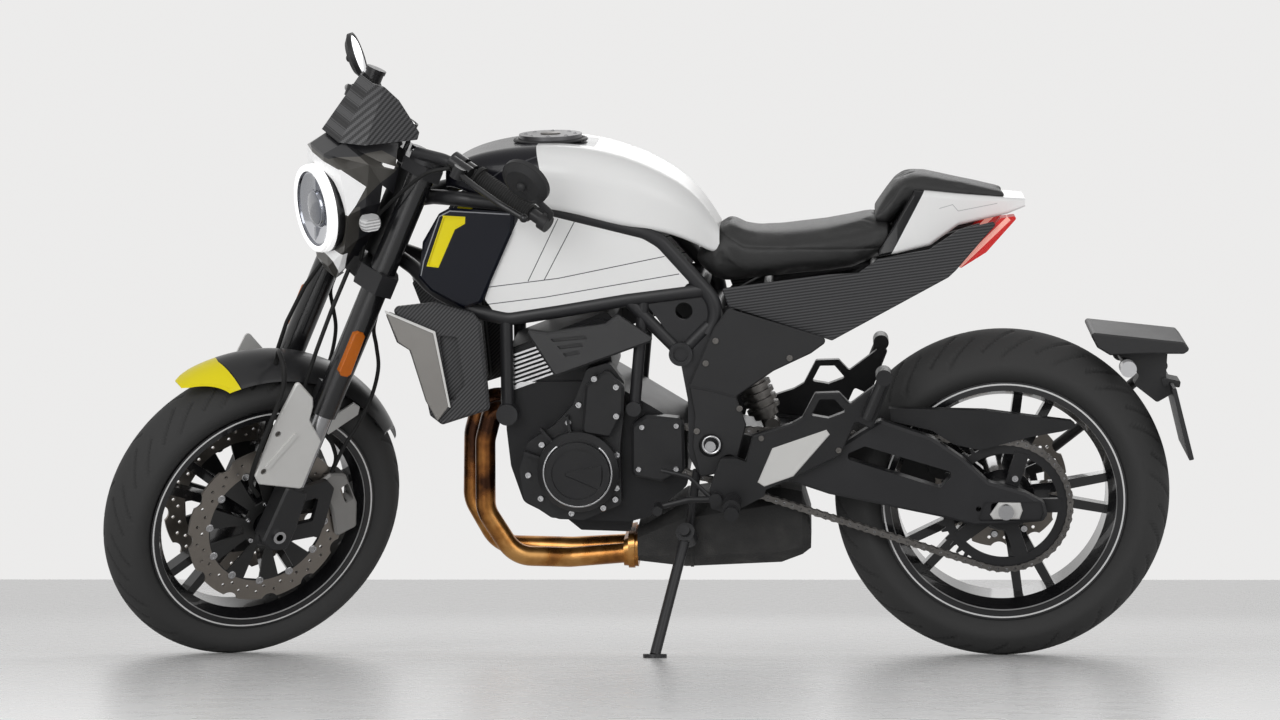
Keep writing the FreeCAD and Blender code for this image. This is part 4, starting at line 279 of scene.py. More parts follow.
def closed_ends(rings):
    """Rows of points with each end row drawn together in its middle before and after them."""
    first, last = (np.broadcast_to(row.mean(axis=0), row.shape) for row in (rings[0], rings[-1]))
    return np.concatenate([first[None], rings, last[None]])


def tube(name, points, body, matrix, radius, both=False):
    """A rubber tube along a smooth path, with closed ends.

    The circle's two axes are square to the path, the first also to a fixed helper direction.
    """
    count, sides = 60, 14
    line = smooth_path(points, count)
    way = np.gradient(line, axis=0)
    way /= np.linalg.norm(way, axis=1, keepdims=True)
    helper = np.array((0.31, 0.77, 0.55))
    first = np.cross(way, helper)
    first /= np.linalg.norm(first, axis=1, keepdims=True)
    second = np.cross(way, first)
    angles = np.linspace(0, 2 * math.pi, sides, endpoint=False)[None, :, None]
    rings = closed_ends(line[:, None] + radius * np.cos(angles) * first[:, None]
                        + radius * np.sin(angles) * second[:, None])
    points = rings.reshape(-1, 3)
    faces = grid_faces(len(rings), sides, False, True).tolist()
    if both:
        points, faces = with_mirror(points, faces)
    return add_piece(name, points, faces, plain_rubber(), body, matrix)


# Shader values

class Value:
    """A shader socket to reckon with: + - * > < and abs do what they do with numbers.

    For marks of 0 and 1, | is or (the larger value), & is and (the product), ~ is not.
    """

    def __init__(self, socket):
        self.socket = socket

    def math(self, operation, *others):
        """What a Math node makes of this value and others."""
        node = add_node(self.socket.id_data, "ShaderNodeMath",
                        dict(enumerate((self, *others))), operation=operation)
        return Value(node.outputs[0])

    __add__ = partialmethod(math, "ADD")
    __sub__ = partialmethod(math, "SUBTRACT")
    __mul__ = partialmethod(math, "MULTIPLY")
    __and__ = partialmethod(math, "MULTIPLY")
    __or__ = partialmethod(math, "MAXIMUM")
    __gt__ = partialmethod(math, "GREATER_THAN")
    __lt__ = partialmethod(math, "LESS_THAN")
    __abs__ = partialmethod(math, "ABSOLUTE")

    def __invert__(self):
        return self * -1.0 + 1.0


def feed(node, inputs):
    """Give a node's inputs, by name or number, a number, colour, vector or another value."""
    for key, value in inputs.items():
        socket = node.inputs[key]
        if isinstance(value, Value):
            socket.id_data.links.new(value.socket, socket)
        elif socket.type == "RGBA":
            socket.default_value = (*value, 1.0)
        else:
            socket.default_value = value


def add_node(tree, kind, inputs=None, **settings):
    node = tree.nodes.new(kind)
    for name, value in settings.items():
        setattr(node, name, value)
    feed(node, inputs or {})
    return node


def mixed(factor, first, second):
    """A mix of two colours, or of two plain numbers, by a value from 0 to 1."""
    plain = isinstance(first, float)
    start = 2 if plain else 6
    node = add_node(factor.socket.id_data, "ShaderNodeMix",
                    {0: factor, start: first, start + 1: second},
                    data_type="FLOAT" if plain else "RGBA")
    return Value(node.outputs[0 if plain else 2])


def object_point(tree):
    return Value(add_node(tree, "ShaderNodeTexCoord").outputs["Object"])


def local_point(tree, matrix):
    """A surface point's x, y and z in millimetres of a frame."""
    mapping = add_node(tree, "ShaderNodeMapping", {
        "Vector": object_point(tree), "Location": matrix.translation,
        "Rotation": matrix.to_euler(), "Scale": (MM, MM, MM)}, vector_type="TEXTURE")
    parts = add_node(tree, "ShaderNodeSeparateXYZ", {0: Value(mapping.outputs["Vector"])})
    return [Value(socket) for socket in parts.outputs]


def noise(tree, scale, detail):
    """Soft noise about 0.5, with its scale per metre."""
    inputs = {"Vector": object_point(tree), "Scale": scale, "Detail": detail}
    return Value(add_node(tree, "ShaderNodeTexNoise", inputs).outputs["Fac"])


def emboss(node, height, distance):
    """Give a node's normal the bumps of a height, whose unit is a distance in metres."""
    bump = add_node(node.id_data, "ShaderNodeBump", {"Height": height, "Distance": distance})
    feed(node, {"Normal": Value(bump.outputs["Normal"])})


def half_plane(x, z, start, end):
    """1 on the left of the line from start to end."""
    run, rise = end[0] - start[0], end[1] - start[1]
    return z * run - x * rise > run * start[1] - rise * start[0]


def region(x, z, corners):
    """1 inside a convex outline whose corners run anticlockwise, x to the right and z up."""
    following = corners[1:] + corners[:1]
    return reduce(and_, [half_plane(x, z, *side) for side in zip(corners, following)])


def strokes(x, z, points, width):
    """1 on a thin line of straight runs through the points."""
    runs = []
    for start, end in zip(map(Vector, points[:-1]), map(Vector, points[1:])):
        way = (end - start).normalized() * width / 2
        left = Vector((-way.y, way.x))
        runs.append(region(x, z, [start - left - way, end - left + way, end + left + way,
                                  start + left - way]))
    return reduce(or_, runs)


def band(value, middle, width):
    """1 where a value lies within half a width of a middle."""
    return abs(value - middle) < width / 2


def radius_from(x, z, centre=(0.0, 0.0)):
    """Distance from a centre in the x-z plane."""
    across, along = x - centre[0], z - centre[1]
    return (across * across + along * along).math("SQRT")


# Shared shader groups

def new_group(name, inputs, outputs):
    """A shader node group: its tree, the values of its inputs, and its end node."""
    tree = bpy.data.node_groups.new(name, "ShaderNodeTree")
    for way, sockets in (("INPUT", inputs), ("OUTPUT", outputs)):
        for label, kind in sockets.items():
            tree.interface.new_socket(label, in_out=way, socket_type="NodeSocket" + kind)
    given = tree.nodes.new("NodeGroupInput")
    values = [Value(given.outputs[label]) for label in inputs]
    return tree, values, tree.nodes.new("NodeGroupOutput")


def grain_group():
    """Broad mottling of colour and roughness with a fine raised grain."""
    tree, given, end = new_group(
        "Grain",
        {"Color": "Color", "Shade": "Color", "Roughness": "Float", "Scale": "Float",
         "Depth": "Float", "Spread": "Float"},
        {"Color": "Color", "Roughness": "Float", "Normal": "Vector"})
    colour, shade, roughness, scale, depth, spread = given
    broad = noise(tree, scale=14.0, detail=4.0)
    feed(end, {"Color": mixed(broad, colour, shade),
               "Roughness": (broad - 0.5) * spread + roughness})
    emboss(end, noise(tree, scale, detail=3.0), depth)
    return tree


def weave_group():
    """Twill weave: a tow passes over two and under two, one step on in each row."""
    tree, given, end = new_group(
        "Weave",
        {"Across": "Float", "Along": "Float", "Tow": "Float", "Light": "Color",
         "Dark": "Color"},
        {"Color": "Color", "Over": "Float", "Normal": "Vector"})
    across, along, tow, light, dark = given
    u, v = across.math("DIVIDE", tow), along.math("DIVIDE", tow)
    steps = u.math("FLOOR") + v.math("FLOOR")
    over = steps.math("FLOORED_MODULO", 4.0) < 1.5
    crown_u, crown_v = u.math("PINGPONG", 0.5), v.math("PINGPONG", 0.5)
    height = over * crown_u + ~over * crown_v
    # Colour: the twill's pattern of over and under tows, plus a painted sheen lightening each tow
    # along its crown.
    feed(end, {"Color": mixed(over * 0.7 + height * 0.5, dark, light), "Over": over})
    emboss(end, height, distance=0.0002)
    return tree


def shared(tree, name, build, inputs):
    """A node of a shared group, which is built when it is first asked for."""
    group = bpy.data.node_groups.get(name) or build()
    return add_node(tree, "ShaderNodeGroup", inputs, node_tree=group)


# Materials, with colours as linear red, green and blue, and depths in metres

def new_material(name):
    made = bpy.data.materials.new(name)
    made.use_nodes = True
    return made, made.node_tree.nodes["Principled BSDF"]


def marked_material(name, matrix):
    """A material to draw on: itself, its shader, and a point's x, y and z in a frame."""
    made, shader = new_material(name)
    return made, shader, *local_point(made.node_tree, matrix)


def grained(shader, colour, roughness, scale, depth, spread, shade=None):
    """Feed a shader from the grain group, with the colour alone where no shade is given."""
    node = shared(shader.id_data, "Grain", grain_group, {
        "Color": colour, "Shade": shade or colour, "Roughness": roughness, "Scale": scale,
        "Depth": depth, "Spread": spread})
    feed(shader, {"Base Color": Value(node.outputs["Color"]),
                  "Roughness": Value(node.outputs["Roughness"]),
                  "Normal": Value(node.outputs["Normal"])})


def finish(name, colour, shade, roughness, metallic=0.0, coat=0.0, scale=900.0,
           depth=0.00004, spread=0.12, specular=0.5):
    """A finish with mottled colour, uneven roughness and a fine grain."""
    found = bpy.data.materials.get(name)
    if found:
        return found
    made, shader = new_material(name)
    grained(shader, colour, roughness, scale, depth, spread, shade)
    feed(shader, {"Metallic": metallic, "Coat Weight": coat, "Coat Roughness": 0.06,
                  "Specular IOR Level": specular})
    return made


def frame_black():
    """Matte powder coat on the frame tubes and yokes."""
    return finish("frame_black", (0.013, 0.013, 0.014), (0.022, 0.022, 0.024), roughness=0.38,
                  scale=1500.0, depth=0.00008, specular=0.35)


def satin_black():
    """Moulded black plastic."""
    return finish("satin_black", (0.017, 0.017, 0.018), (0.027, 0.027, 0.028), roughness=0.50,
                  scale=2200.0, depth=0.00012, specular=0.3)


def casting_black():
    """Black paint on cast engine parts."""
    return finish("casting_black", (0.011, 0.011, 0.012), (0.022, 0.022, 0.023), roughness=0.36,
                  scale=700.0, depth=0.0002, specular=0.3)


def tube_black():
    """Smooth black of the fork's outer tubes."""
    return finish("tube_black", (0.006, 0.006, 0.007), (0.010, 0.010, 0.011), roughness=0.26,
                  coat=0.4, depth=0.00001)


def control_black():
    """Black anodised metal of the levers and clamps."""
    return finish("control_black", (0.010, 0.010, 0.011), (0.03, 0.03, 0.031), roughness=0.3,
                  metallic=0.3, scale=1500.0)


def cover_grey():
    """Dark grey plastic of the intake covers."""
    return finish("cover_grey", (0.022, 0.022, 0.023), (0.034, 0.034, 0.035), roughness=0.42,
                  scale=2200.0, depth=0.0001)


def caliper_grey():
    """Grey anodised brake calipers."""
    return finish("caliper_grey", (0.30, 0.295, 0.285), (0.22, 0.215, 0.21), roughness=0.42,
                  metallic=0.4, scale=1200.0, depth=0.0001)


def plate_grey():
    """Warm grey plates on the radiator shrouds."""
    return finish("plate_grey", (0.26, 0.25, 0.235), (0.20, 0.19, 0.18), roughness=0.38,
                  metallic=0.3, scale=1400.0, depth=0.00006)


def cap_grey():
    """Grey anodised fuel cap."""
    return finish("cap_grey", (0.10, 0.10, 0.105), (0.16, 0.16, 0.165), roughness=0.3,
                  metallic=0.7, scale=1500.0)


def cast_silver():
    """Silver-grey aluminium castings and plates."""
    return finish("cast_silver", (0.66, 0.655, 0.64), (0.58, 0.575, 0.56), roughness=0.42,
                  metallic=0.15, scale=1200.0, depth=0.0001)


def bright_steel():
    """Turned and plated steel."""
    return finish("bright_steel", (0.56, 0.56, 0.57), (0.42, 0.42, 0.43), roughness=0.22,
                  metallic=1.0, scale=1600.0)


def dark_steel():
    """Oiled steel of the chain and its sprockets."""
    return finish("dark_steel", (0.10, 0.095, 0.09), (0.20, 0.19, 0.18), roughness=0.36,
                  metallic=0.85, scale=1400.0, depth=0.0001, spread=0.3)


def lamp_chrome():
    """Chromed reflector and bars in the headlight."""
    return finish("lamp_chrome", (0.62, 0.63, 0.66), (0.50, 0.51, 0.54), roughness=0.08,
                  metallic=1.0, depth=0.0)


def clear_mirror():
    """Silvered mirror glass."""
    return finish("mirror_glass", (0.82, 0.83, 0.85), (0.80, 0.81, 0.83), roughness=0.03,
                  metallic=1.0, depth=0.0, spread=0.02)


def dark_glass(name, colour, shade, roughness):
    """Smooth dark glass with a full clear coat."""
    return finish(name, colour, shade, roughness, coat=1.0, depth=0.0)


def plain_rubber():
    """Black moulded rubber."""
    return finish("plain_rubber", (0.008, 0.008, 0.008), (0.014, 0.014, 0.014), roughness=0.6,
                  scale=1500.0, depth=0.00012, specular=0.25)


def tyre_rubber():
    """Dull tyre rubber, a little greyed."""
    return finish("tyre_rubber", (0.010, 0.010, 0.010), (0.022, 0.021, 0.020), roughness=0.62,
                  scale=900.0, depth=0.00012, spread=0.2, specular=0.25)


def reflector_orange():
    """Orange reflector plastic."""
    return finish("reflector_orange", (0.58, 0.15, 0.006), (0.46, 0.10, 0.005), roughness=0.2,
                  coat=0.15, scale=240.0, depth=0.0003, specular=0.3)


def crinkle_black():
    """Crinkled heatproof black on the muffler, greyed by dust low down."""
    made, shader, x, y, z = marked_material("crinkle_black", MACHINE)
    dust_top, gain, most = 316.7, 0.006, 0.6
    specks = noise(made.node_tree, scale=26.0, detail=7.0).math("POWER", 3.0)
    dust = specks * ((z - dust_top) * -gain)
    colour = mixed(dust.math("MINIMUM", most), (0.016, 0.016, 0.016), (0.17, 0.16, 0.15))
    grained(shader, colour, roughness=0.6, scale=320.0, depth=0.0008, spread=0.3)
    feed(shader, {"Specular IOR Level": 0.35})
    return made


def lay_paint(shader, colour, coat, specular, roughness=0.24):
    """Gloss paint: a colour with orange peel and uneven gloss under a clear coat."""
    grained(shader, colour, roughness=roughness, scale=160.0, depth=0.00003, spread=0.08)
    feed(shader, {"Coat Weight": coat, "Coat Roughness": 0.05, "Specular IOR Level": specular})


def tank_paint(settings):
    """White tank with a black front, a black strip round its cap and a painted crease highlight."""
    made, shader, x, y, z = marked_material("tank_paint", MACHINE)
    strip_half, strip_end = 66.0, 684.0
    front = region(x, z, [(300, 700), (602, 905), (590, 958), (629, 1010), (300, 1100)])
    dark = front | (abs(y) < strip_half) & (x < strip_end)
    # The lighter line along the black front's crease is a painted highlight.
    edge = strokes(x, z, [(489, 941), (522, 964), (575, 983), (622, 998)], width=2.4) & front
    colour = mixed(dark, settings.body_white[:], (0.006, 0.006, 0.009))
    lay_paint(shader, mixed(edge, colour, (0.05, 0.05, 0.055)), coat=0.08, specular=0.2)
    return made


def panel_paint(settings):
    """White side panel with a black front end and thin grey pinstripes."""
    made, shader, x, y, z = marked_material("panel_paint", MACHINE)
    low = region(x, z, [(380, 640), (472, 700), (476, 722), (497, 772), (380, 780)])
    high = region(x, z, [(380, 770), (497, 772), (546, 872), (560, 900), (380, 900)])
    lines = ([(474, 711), (590, 724), (838, 764)], [(484, 744), (616, 759), (812, 797)],
             [(560, 755), (618, 869)], [(590, 757), (648, 863)])
    stripes = reduce(or_, [strokes(x, z, line, width=1.7) for line in lines])
    colour = mixed(stripes, settings.body_white[:], (0.075, 0.08, 0.085))
    lay_paint(shader, mixed(low | high, colour, (0.004, 0.005, 0.010)), coat=0.1, specular=0.25)
    return made


def tail_paint(settings):
    """White tail with a black front strip and a faint pinstripe."""
    made, shader, x, y, z = marked_material("tail_paint", MACHINE)
    dark = region(x, z, [(1180, 770), (1214, 770), (1232, 796), (1296, 915), (1180, 940)])
    line = strokes(x, z, [(1318, 872), (1342, 878), (1352, 866), (1424, 877)], width=1.2)
    colour = mixed(line, settings.body_white[:], (0.42, 0.42, 0.43))
    lay_paint(shader, mixed(dark, colour, (0.010, 0.010, 0.011)), coat=0.08, specular=0.2)
    return made


def cover_paint(settings):
    """Blue-black front cover with a yellow recess and a bright outline."""
    made, shader, x, y, z = marked_material("cover_paint", MACHINE)
    stem = region(x, z, [(374, 787), (396, 784), (431, 859), (409, 881)])
    head = region(x, z, [(428, 854), (448, 865), (449, 878), (406, 881)])
    outline = strokes(x, z, [(363, 770), (369, 796), (401, 879), (421, 889), (530, 881)], width=2.0)
    colour = mixed(outline, (0.004, 0.005, 0.010), (0.28, 0.285, 0.30))
    lay_paint(shader, mixed(stem | head, colour, settings.accent_yellow[:]), coat=0.06,
              specular=0.18, roughness=0.2)
    return made


def fender_paint(settings):
    """Black fender with a yellow tip, whose edge slants back away from the middle."""
    made, shader, x, y, z = marked_material("fender_paint", FORK)
    slope = 0.20
    slant = x - abs(y) * slope
    tip = half_plane(slant, z, (-172, 245), (-208, 290))
    edge = strokes(slant, z, [(-168, 240), (-208, 290)], width=2.5)
    colour = mixed(tip, (0.026, 0.026, 0.027), settings.accent_yellow[:])
    lay_paint(shader, mixed(edge, colour, (0.004, 0.004, 0.004)), coat=0.08,
              specular=0.2, roughness=0.32)
    return made


def carbon(name, matrix, turn, tow=1.9):
    """Carbon twill under a satin coat, woven in a frame's x-z plane turned by some degrees."""
    turned_frame = matrix @ Matrix.Rotation(math.radians(turn), 4, "Y")
    made, shader, x, y, z = marked_material(name, turned_frame)
    weave = shared(made.node_tree, "Weave", weave_group, {
        "Across": x, "Along": z, "Tow": tow, "Light": (0.085, 0.085, 0.088),
        "Dark": (0.012, 0.012, 0.013)})
    feed(shader, {"Base Color": Value(weave.outputs["Color"]),
                  "Normal": Value(weave.outputs["Normal"]),
                  "Roughness": Value(weave.outputs["Over"]) * -0.1 + 0.42,
                  "Specular IOR Level": 0.25})
    return made


def heat_bronze():
    """Stainless pipe tinted by heat from straw through copper to dark brown."""
    made, shader, x, y, z = marked_material("heat_bronze", MACHINE)
    cool_height, gain, least = 350.0, 0.0012, -0.25
    clouds = noise(made.node_tree, scale=20.0, detail=6.0)
    heat = clouds + ((z - cool_height) * -gain | least)
    ramp = add_node(made.node_tree, "ShaderNodeValToRGB", {"Fac": heat})
    stops = ramp.color_ramp.elements
    stops[0].position, stops[0].color = 0.30, (0.045, 0.018, 0.009, 1)
    stops[1].position, stops[1].color = 0.80, (0.62, 0.33, 0.11, 1)
    for place, tint in ((0.45, (0.20, 0.075, 0.022, 1)), (0.62, (0.42, 0.18, 0.045, 1))):
        stops.new(place).color = tint
    feed(shader, {"Base Color": Value(ramp.outputs["Color"]), "Metallic": 0.9,
                  "Roughness": clouds * 0.3 + 0.14})
    return made


def wheel_paint(name, matrix):
    """Gloss black wheel paint with painted highlight lines: one round the flange, a fainter one
    inside.
    """
    made, shader, x, y, z = marked_material(name, matrix)
    width, inner_width, inner_step = 3.0, 1.4, 13.3
    radius = radius_from(x, z)
    # Painted highlights: a light line round the flange and a fainter one inside it, set by radius.
    faint = band(radius, FLANGE_RADIUS - inner_step, inner_width) * 0.5
    line = band(radius, FLANGE_RADIUS, width) | faint
    colour = mixed(line, (0.007, 0.007, 0.008), (0.66, 0.66, 0.66))
    grained(shader, colour, roughness=0.22, scale=900.0, depth=0.00003, spread=0.08)
    feed(shader, {"Coat Weight": 0.5})
    return made


def disc_steel(name, matrix, carrier_radius):
    """Brake disc: brushed rubbing band round a black carrier."""
    made, shader, x, y, z = marked_material(name, matrix)
    radius = radius_from(x, z)
    brushed = Value(add_node(made.node_tree, "ShaderNodeTexNoise", {"W": radius, "Scale": 2.5},
                             noise_dimensions="1D").outputs["Fac"])
    outer = radius > carrier_radius
    steel = mixed(brushed, (0.17, 0.15, 0.13), (0.36, 0.33, 0.30))
    feed(shader, {"Base Color": mixed(outer, (0.012, 0.012, 0.012), steel),
                  "Metallic": outer * 0.9, "Roughness": brushed * 0.2 + 0.28})
    return made


def fork_metal():
    """Bright inner tubes above black castings."""
    made, shader, x, y, z = marked_material("fork_metal", FORK)
    casting_top = 105.0
    bright = (radius_from(x, abs(y) - LEG_Y) < INNER_TUBE_RADIUS + 0.2) & (z > casting_top)
    colour = mixed(bright, (0.013, 0.013, 0.014), (0.42, 0.42, 0.43))
    grained(shader, colour, roughness=mixed(bright, 0.45, 0.2), scale=1300.0, depth=0.00006,
            spread=0.1)
    feed(shader, {"Metallic": bright})
    return made


def engine_metal():
    """Black castings whose fin edges are machined bright."""
    made, shader, x, y, z = marked_material("engine_metal", MACHINE)
    barrel_half = 103.0
    bare = (abs(y) > barrel_half) & region(x, z, [(512, 541), (606, 573), (588, 640), (512, 620)])
    colour = mixed(bare, (0.014, 0.014, 0.015), (0.70, 0.70, 0.71))
    grained(shader, colour, roughness=mixed(bare, 0.40, 0.25), scale=700.0, depth=0.00015,
            spread=0.14)
    feed(shader, {"Metallic": bare, "Specular IOR Level": 0.22})
    return made


def radiator_core():
    """Black radiator with fine upright fins and flat tubes between its end tanks."""
    made, shader, x, y, z = marked_material("radiator_core", MACHINE)
    core_half, fin_half_pitch, tube_half_pitch, tube_half = 131.0, 1.4, 5.0, 1.1
    core = abs(y) < core_half
    tubes = z.math("PINGPONG", tube_half_pitch) < tube_half
    colour = mixed(core & tubes, (0.010, 0.010, 0.011), (0.05, 0.05, 0.052))
    feed(shader, {"Base Color": colour, "Roughness": 0.5})
    emboss(shader, core & (y.math("PINGPONG", fin_half_pitch) | tubes), distance=0.0008)
    return made


def grip_rubber():
    """Black grip rubber with rings every five millimetres along the bar and painted shade in the
    grooves.
    """
    made, shader, x, y, z = marked_material("grip_rubber", FORK)
    bar_way, pitch = (0.533, 0.839, -0.109), 5.0
    along = x * bar_way[0] + abs(y) * bar_way[1] + z * bar_way[2]
    ridge = (along * (2 * math.pi / pitch)).math("SINE")
    # Painted shade: the grooves between the rings are darker and the crests lighter.
    colour = mixed(ridge * 0.5 + 0.5, (0.005, 0.005, 0.005), (0.016, 0.016, 0.016))
    feed(shader, {"Base Color": colour, "Roughness": 0.62, "Specular IOR Level": 0.3})
    emboss(shader, ridge, distance=0.0006)
    return made


def lamp_body(settings):
    """Headlight: black drum, chromed bowl, white light ring and clear indicator lenses."""
    made, shader, x, y, z = marked_material("lamp_body", LAMP)
    bowl_radius, drum_front, lens_place, groove_half_pitch = 70.2, -4.0, 97.0, 3.0
    radius, front = radius_from(y, z), x < drum_front
    bowl = front & (radius < bowl_radius)
    ring = front & (radius > bowl_radius)
    side = abs(y) > lens_place
    grooves = z.math("PINGPONG", groove_half_pitch)
    lens = mixed(grooves * 0.3, (0.72, 0.72, 0.72), (0.45, 0.45, 0.46))
    colour = mixed(bowl, (0.012, 0.012, 0.013), (0.42, 0.43, 0.46))
    colour = mixed(ring, colour, (0.9, 0.9, 0.9))
    feed(shader, {"Base Color": mixed(side, colour, lens), "Metallic": bowl,
                  "Roughness": mixed(bowl, 0.3, 0.12),
                  "Emission Color": mixed(ring, (0, 0, 0), (1, 1, 1)),
                  "Emission Strength": settings.lamp_glow})
    emboss(shader, grooves & side, distance=0.0005)
    return made


def cowl_paint(settings):
    """Cowl: bronze-grey facets, black sides and white light wings above and below the ring."""
    made, shader, x, y, z = marked_material("cowl_paint", LAMP)
    top_edge = 112.0
    upper = region(x, z, [(22, 26), (103, 66), (140, 88), (103, 112), (10, 130), (-20, 118)])
    side = region(x, z, [(8, -142), (42, -139), (40, -40), (54, 27), (14, 27), (-20, -60)])
    facet = (upper | side) & ~(z > top_edge)
    wing = region(x, z, [(6, 2), (30, 30), (72, 66), (67, 88), (8, 99), (-20, 122), (-24, 40)])
    low_wing = region(x, z, [(-8, -70), (4, -96), (20, -126), (31, -117), (23, -72), (2, -70)])
    white = wing | low_wing
    colour = mixed(facet, (0.009, 0.009, 0.011), (0.095, 0.09, 0.082))
    lay_paint(shader, mixed(white, colour, (0.86, 0.86, 0.86)), coat=0.3,
              specular=0.5, roughness=0.34)
    feed(shader, {"Metallic": (facet & ~white) * 0.5,
                  "Emission Color": mixed(white, (0, 0, 0), (1, 1, 1)),
                  "Emission Strength": settings.lamp_glow * 0.35})
    return made


def tail_lens(settings):
    """Red tail light, ribbed, with a brighter inner band along its slant."""
    made, shader, x, y, z = marked_material("tail_lens", MACHINE)
    rib_half_pitch = 2.2
    bright = strokes(x, z, [(1352, 768), (1392, 806), (1440, 852)], width=9.0)
    colour = mixed(bright, (0.60, 0.008, 0.006), (0.85, 0.40, 0.34))
    grained(shader, colour, roughness=0.14, scale=300.0, depth=0.00005, spread=0.05)
    feed(shader, {"Emission Color": mixed(bright, (0.30, 0.0, 0.0), (1.0, 0.35, 0.28)),
                  "Emission Strength": settings.lamp_glow * 0.6,
                  "Specular IOR Level": 0.3, "Coat Weight": 0.1})
    emboss(shader, (x + z).math("PINGPONG", rib_half_pitch), distance=0.0004)
    return made


def plate_holder_plastic():
    """Dark grey mudguard plastic with clear indicator lenses at the sides."""
    made, shader, x, y, z = marked_material("plate_holder_plastic", REAR)
    lens_centre, lens_radius, lens_place = (228.0, 254.0), 15.5, 74.0
    lens = (radius_from(x, z, lens_centre) < lens_radius) & (abs(y) > lens_place)
    colour = mixed(lens, (0.016, 0.016, 0.017), (0.55, 0.55, 0.56))
    grained(shader, colour, roughness=mixed(lens, 0.5, 0.12), scale=1800.0, depth=0.0001,
            spread=0.1)
    return made


def seat_leather():
    """Grained black seat cover with a stitched seam below its top edge and painted shade in
    creases.
    """
    made, shader, x, y, z = marked_material("seat_leather", MACHINE)
    side_half, cushion_end, thread_half, crease_limit = 60.0, 1200.0, 1.1, 0.12
    level = x * -SEAM_FALL + SEAM_LEVEL + ((x - SEAM_BEND) * -1.0 | 0.0) * SEAM_RISE
    side = (abs(y) > side_half) & (x < cushion_end)
    seam = side & (abs(z - level) < thread_half)
    cells = add_node(made.node_tree, "ShaderNodeTexVoronoi",
                     {"Vector": object_point(made.node_tree), "Scale": 620.0},
                     feature="DISTANCE_TO_EDGE")
    creases = Value(cells.outputs["Distance"]).math("MINIMUM", crease_limit)
    # Painted shade: the grain's creases are darker than the raised cells between them.
    colour = mixed(creases, (0.012, 0.012, 0.012), (0.055, 0.055, 0.056))
    feed(shader, {"Base Color": mixed(seam, colour, (0.004, 0.004, 0.004)),
                  "Roughness": creases * -1.0 + 0.56, "Specular IOR Level": 0.4})
    emboss(shader, creases - seam * 0.5, distance=0.0008)
    return made


def dress(material, *nodes):
    """Give carried-over nodes their finish."""
    for name in nodes:
        slots = frame["nodes"][name].data.materials
        slots.clear()
        slots.append(material)


# Pieces

def tyre_profile(radius, half, crown, bead_half):
    """Closed cross-section of a tyre from (radius, y) corners: tread arc, side walls, beads.

    The tread follows a circle of the crown radius. A side wall runs from the tread's edge to
    the bead with a bulge of a power of a sine.
    """
    bulge, lip, toe_radius = 4.5, 2.0, 219.0
    across = np.linspace(-half, half, 41)
    drop = crown - np.sqrt(crown ** 2 - across ** 2)
    tread = np.stack([radius - drop, across], axis=1)
    edge = tread[-1, 0]
    step = np.linspace(0, 1, 13)[1:]
    wall_y = half + (bead_half - half) * step ** 1.7 + bulge * np.sin(step * math.pi) ** 0.9
    wall = np.stack([edge + (BEAD_RADIUS - edge) * step, wall_y], axis=1)
    inner = np.array([(toe_radius, bead_half - lip), (toe_radius, lip - bead_half)])
    return np.concatenate([tread, wall, inner, wall[::-1] * (1, -1)]), len(tread)


def tread_depth(turn, across, half, count, depth):
    """Depth of the sipes: curved cuts that sweep back from near the middle to the shoulder.

    A cut's middle line is at turn = k * pitch + sweep * (|y| / half) ** 1.4. Every other cut
    starts further out, and the two sides are half a pitch apart.
    """
    sweep, half_cut, wall, ramp = 1.9, 0.075, 0.02, 0.05
    pitch = 2 * math.pi / count
    reach = np.abs(across) / half
    swept = turn / pitch - sweep * reach ** 1.4 + np.where(across > 0, 0.5, 0)
    long_cut = np.mod(np.floor(swept), 2) < 0.5
    start = np.where(long_cut, 0.10, 0.34)
    end = np.where(long_cut, 0.80, 0.93)
    cut = np.clip((half_cut - np.abs(np.mod(swept, 1.0) - 0.5)) / wall, 0, 1)
    inside = np.clip((reach - start) / ramp, 0, 1) * np.clip((end - reach) / ramp, 0, 1)
    return depth * cut * inside


def make_tyre(name, node, body, matrix, settings, radius, half, crown, bead_half):
    """Tyre with cut tread, turned round its axle."""
    profile, tread_count = tyre_profile(radius, half, crown, bead_half)
    turns = np.linspace(0, 2 * math.pi, 1200, endpoint=False)[:, None]
    across = profile[:, 1]
    reach = np.tile(profile[:, 0], (len(turns), 1))
    tread = slice(0, tread_count)
    reach[:, tread] -= tread_depth(turns, across[tread], half, settings.tread_cuts,
                                   settings.tread_depth)
    faces = grid_faces(len(turns), len(profile), True, True)
    piece = add_piece(name, turned(reach, across, turns), faces, tyre_rubber(), body, matrix,
                      tidy=False)
    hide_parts(node)


def make_tyres(settings):
    make_tyre("front_tyre_tread", "front_tyre", "front_wheel", FORK, settings,
              radius=FRONT_RADIUS, half=57.0, crown=66.0, bead_half=42.7)
    make_tyre("rear_tyre_tread", "rear_tyre", "rear_wheel", REAR, settings,
              radius=REAR_RADIUS, half=85.5, crown=98.0, bead_half=68.7)


def make_wheels(settings):
    dress(wheel_paint("front_wheel_paint", FORK), "front_rim")
    dress(wheel_paint("rear_wheel_paint", REAR), "rear_rim")


def make_brakes(settings):
    button_radius, hub_radius = 119.0, 44.0
    dress(disc_steel("front_disc_steel", FORK, button_radius), "front_brake_discs")
    dress(disc_steel("rear_disc_steel", REAR, carrier_radius=86.0), "rear_brake_disc")
    dress(caliper_grey(), "front_calipers")
    dress(casting_black(), "rear_caliper")
    dress(plain_rubber(), "brake_hoses")
    buttons = around(button_radius, y=-64.5, count=12, first=15.0)
    screws("front_disc_buttons", buttons, bright_steel(), "front_wheel", FORK, radius=8.0,
           height=2.2, both=True, hollow=0.55)
    screws("front_hub_screws", around(hub_radius, y=-63.0, count=6), bright_steel(),
           "front_wheel", FORK, radius=5.0, height=5.0, both=True)


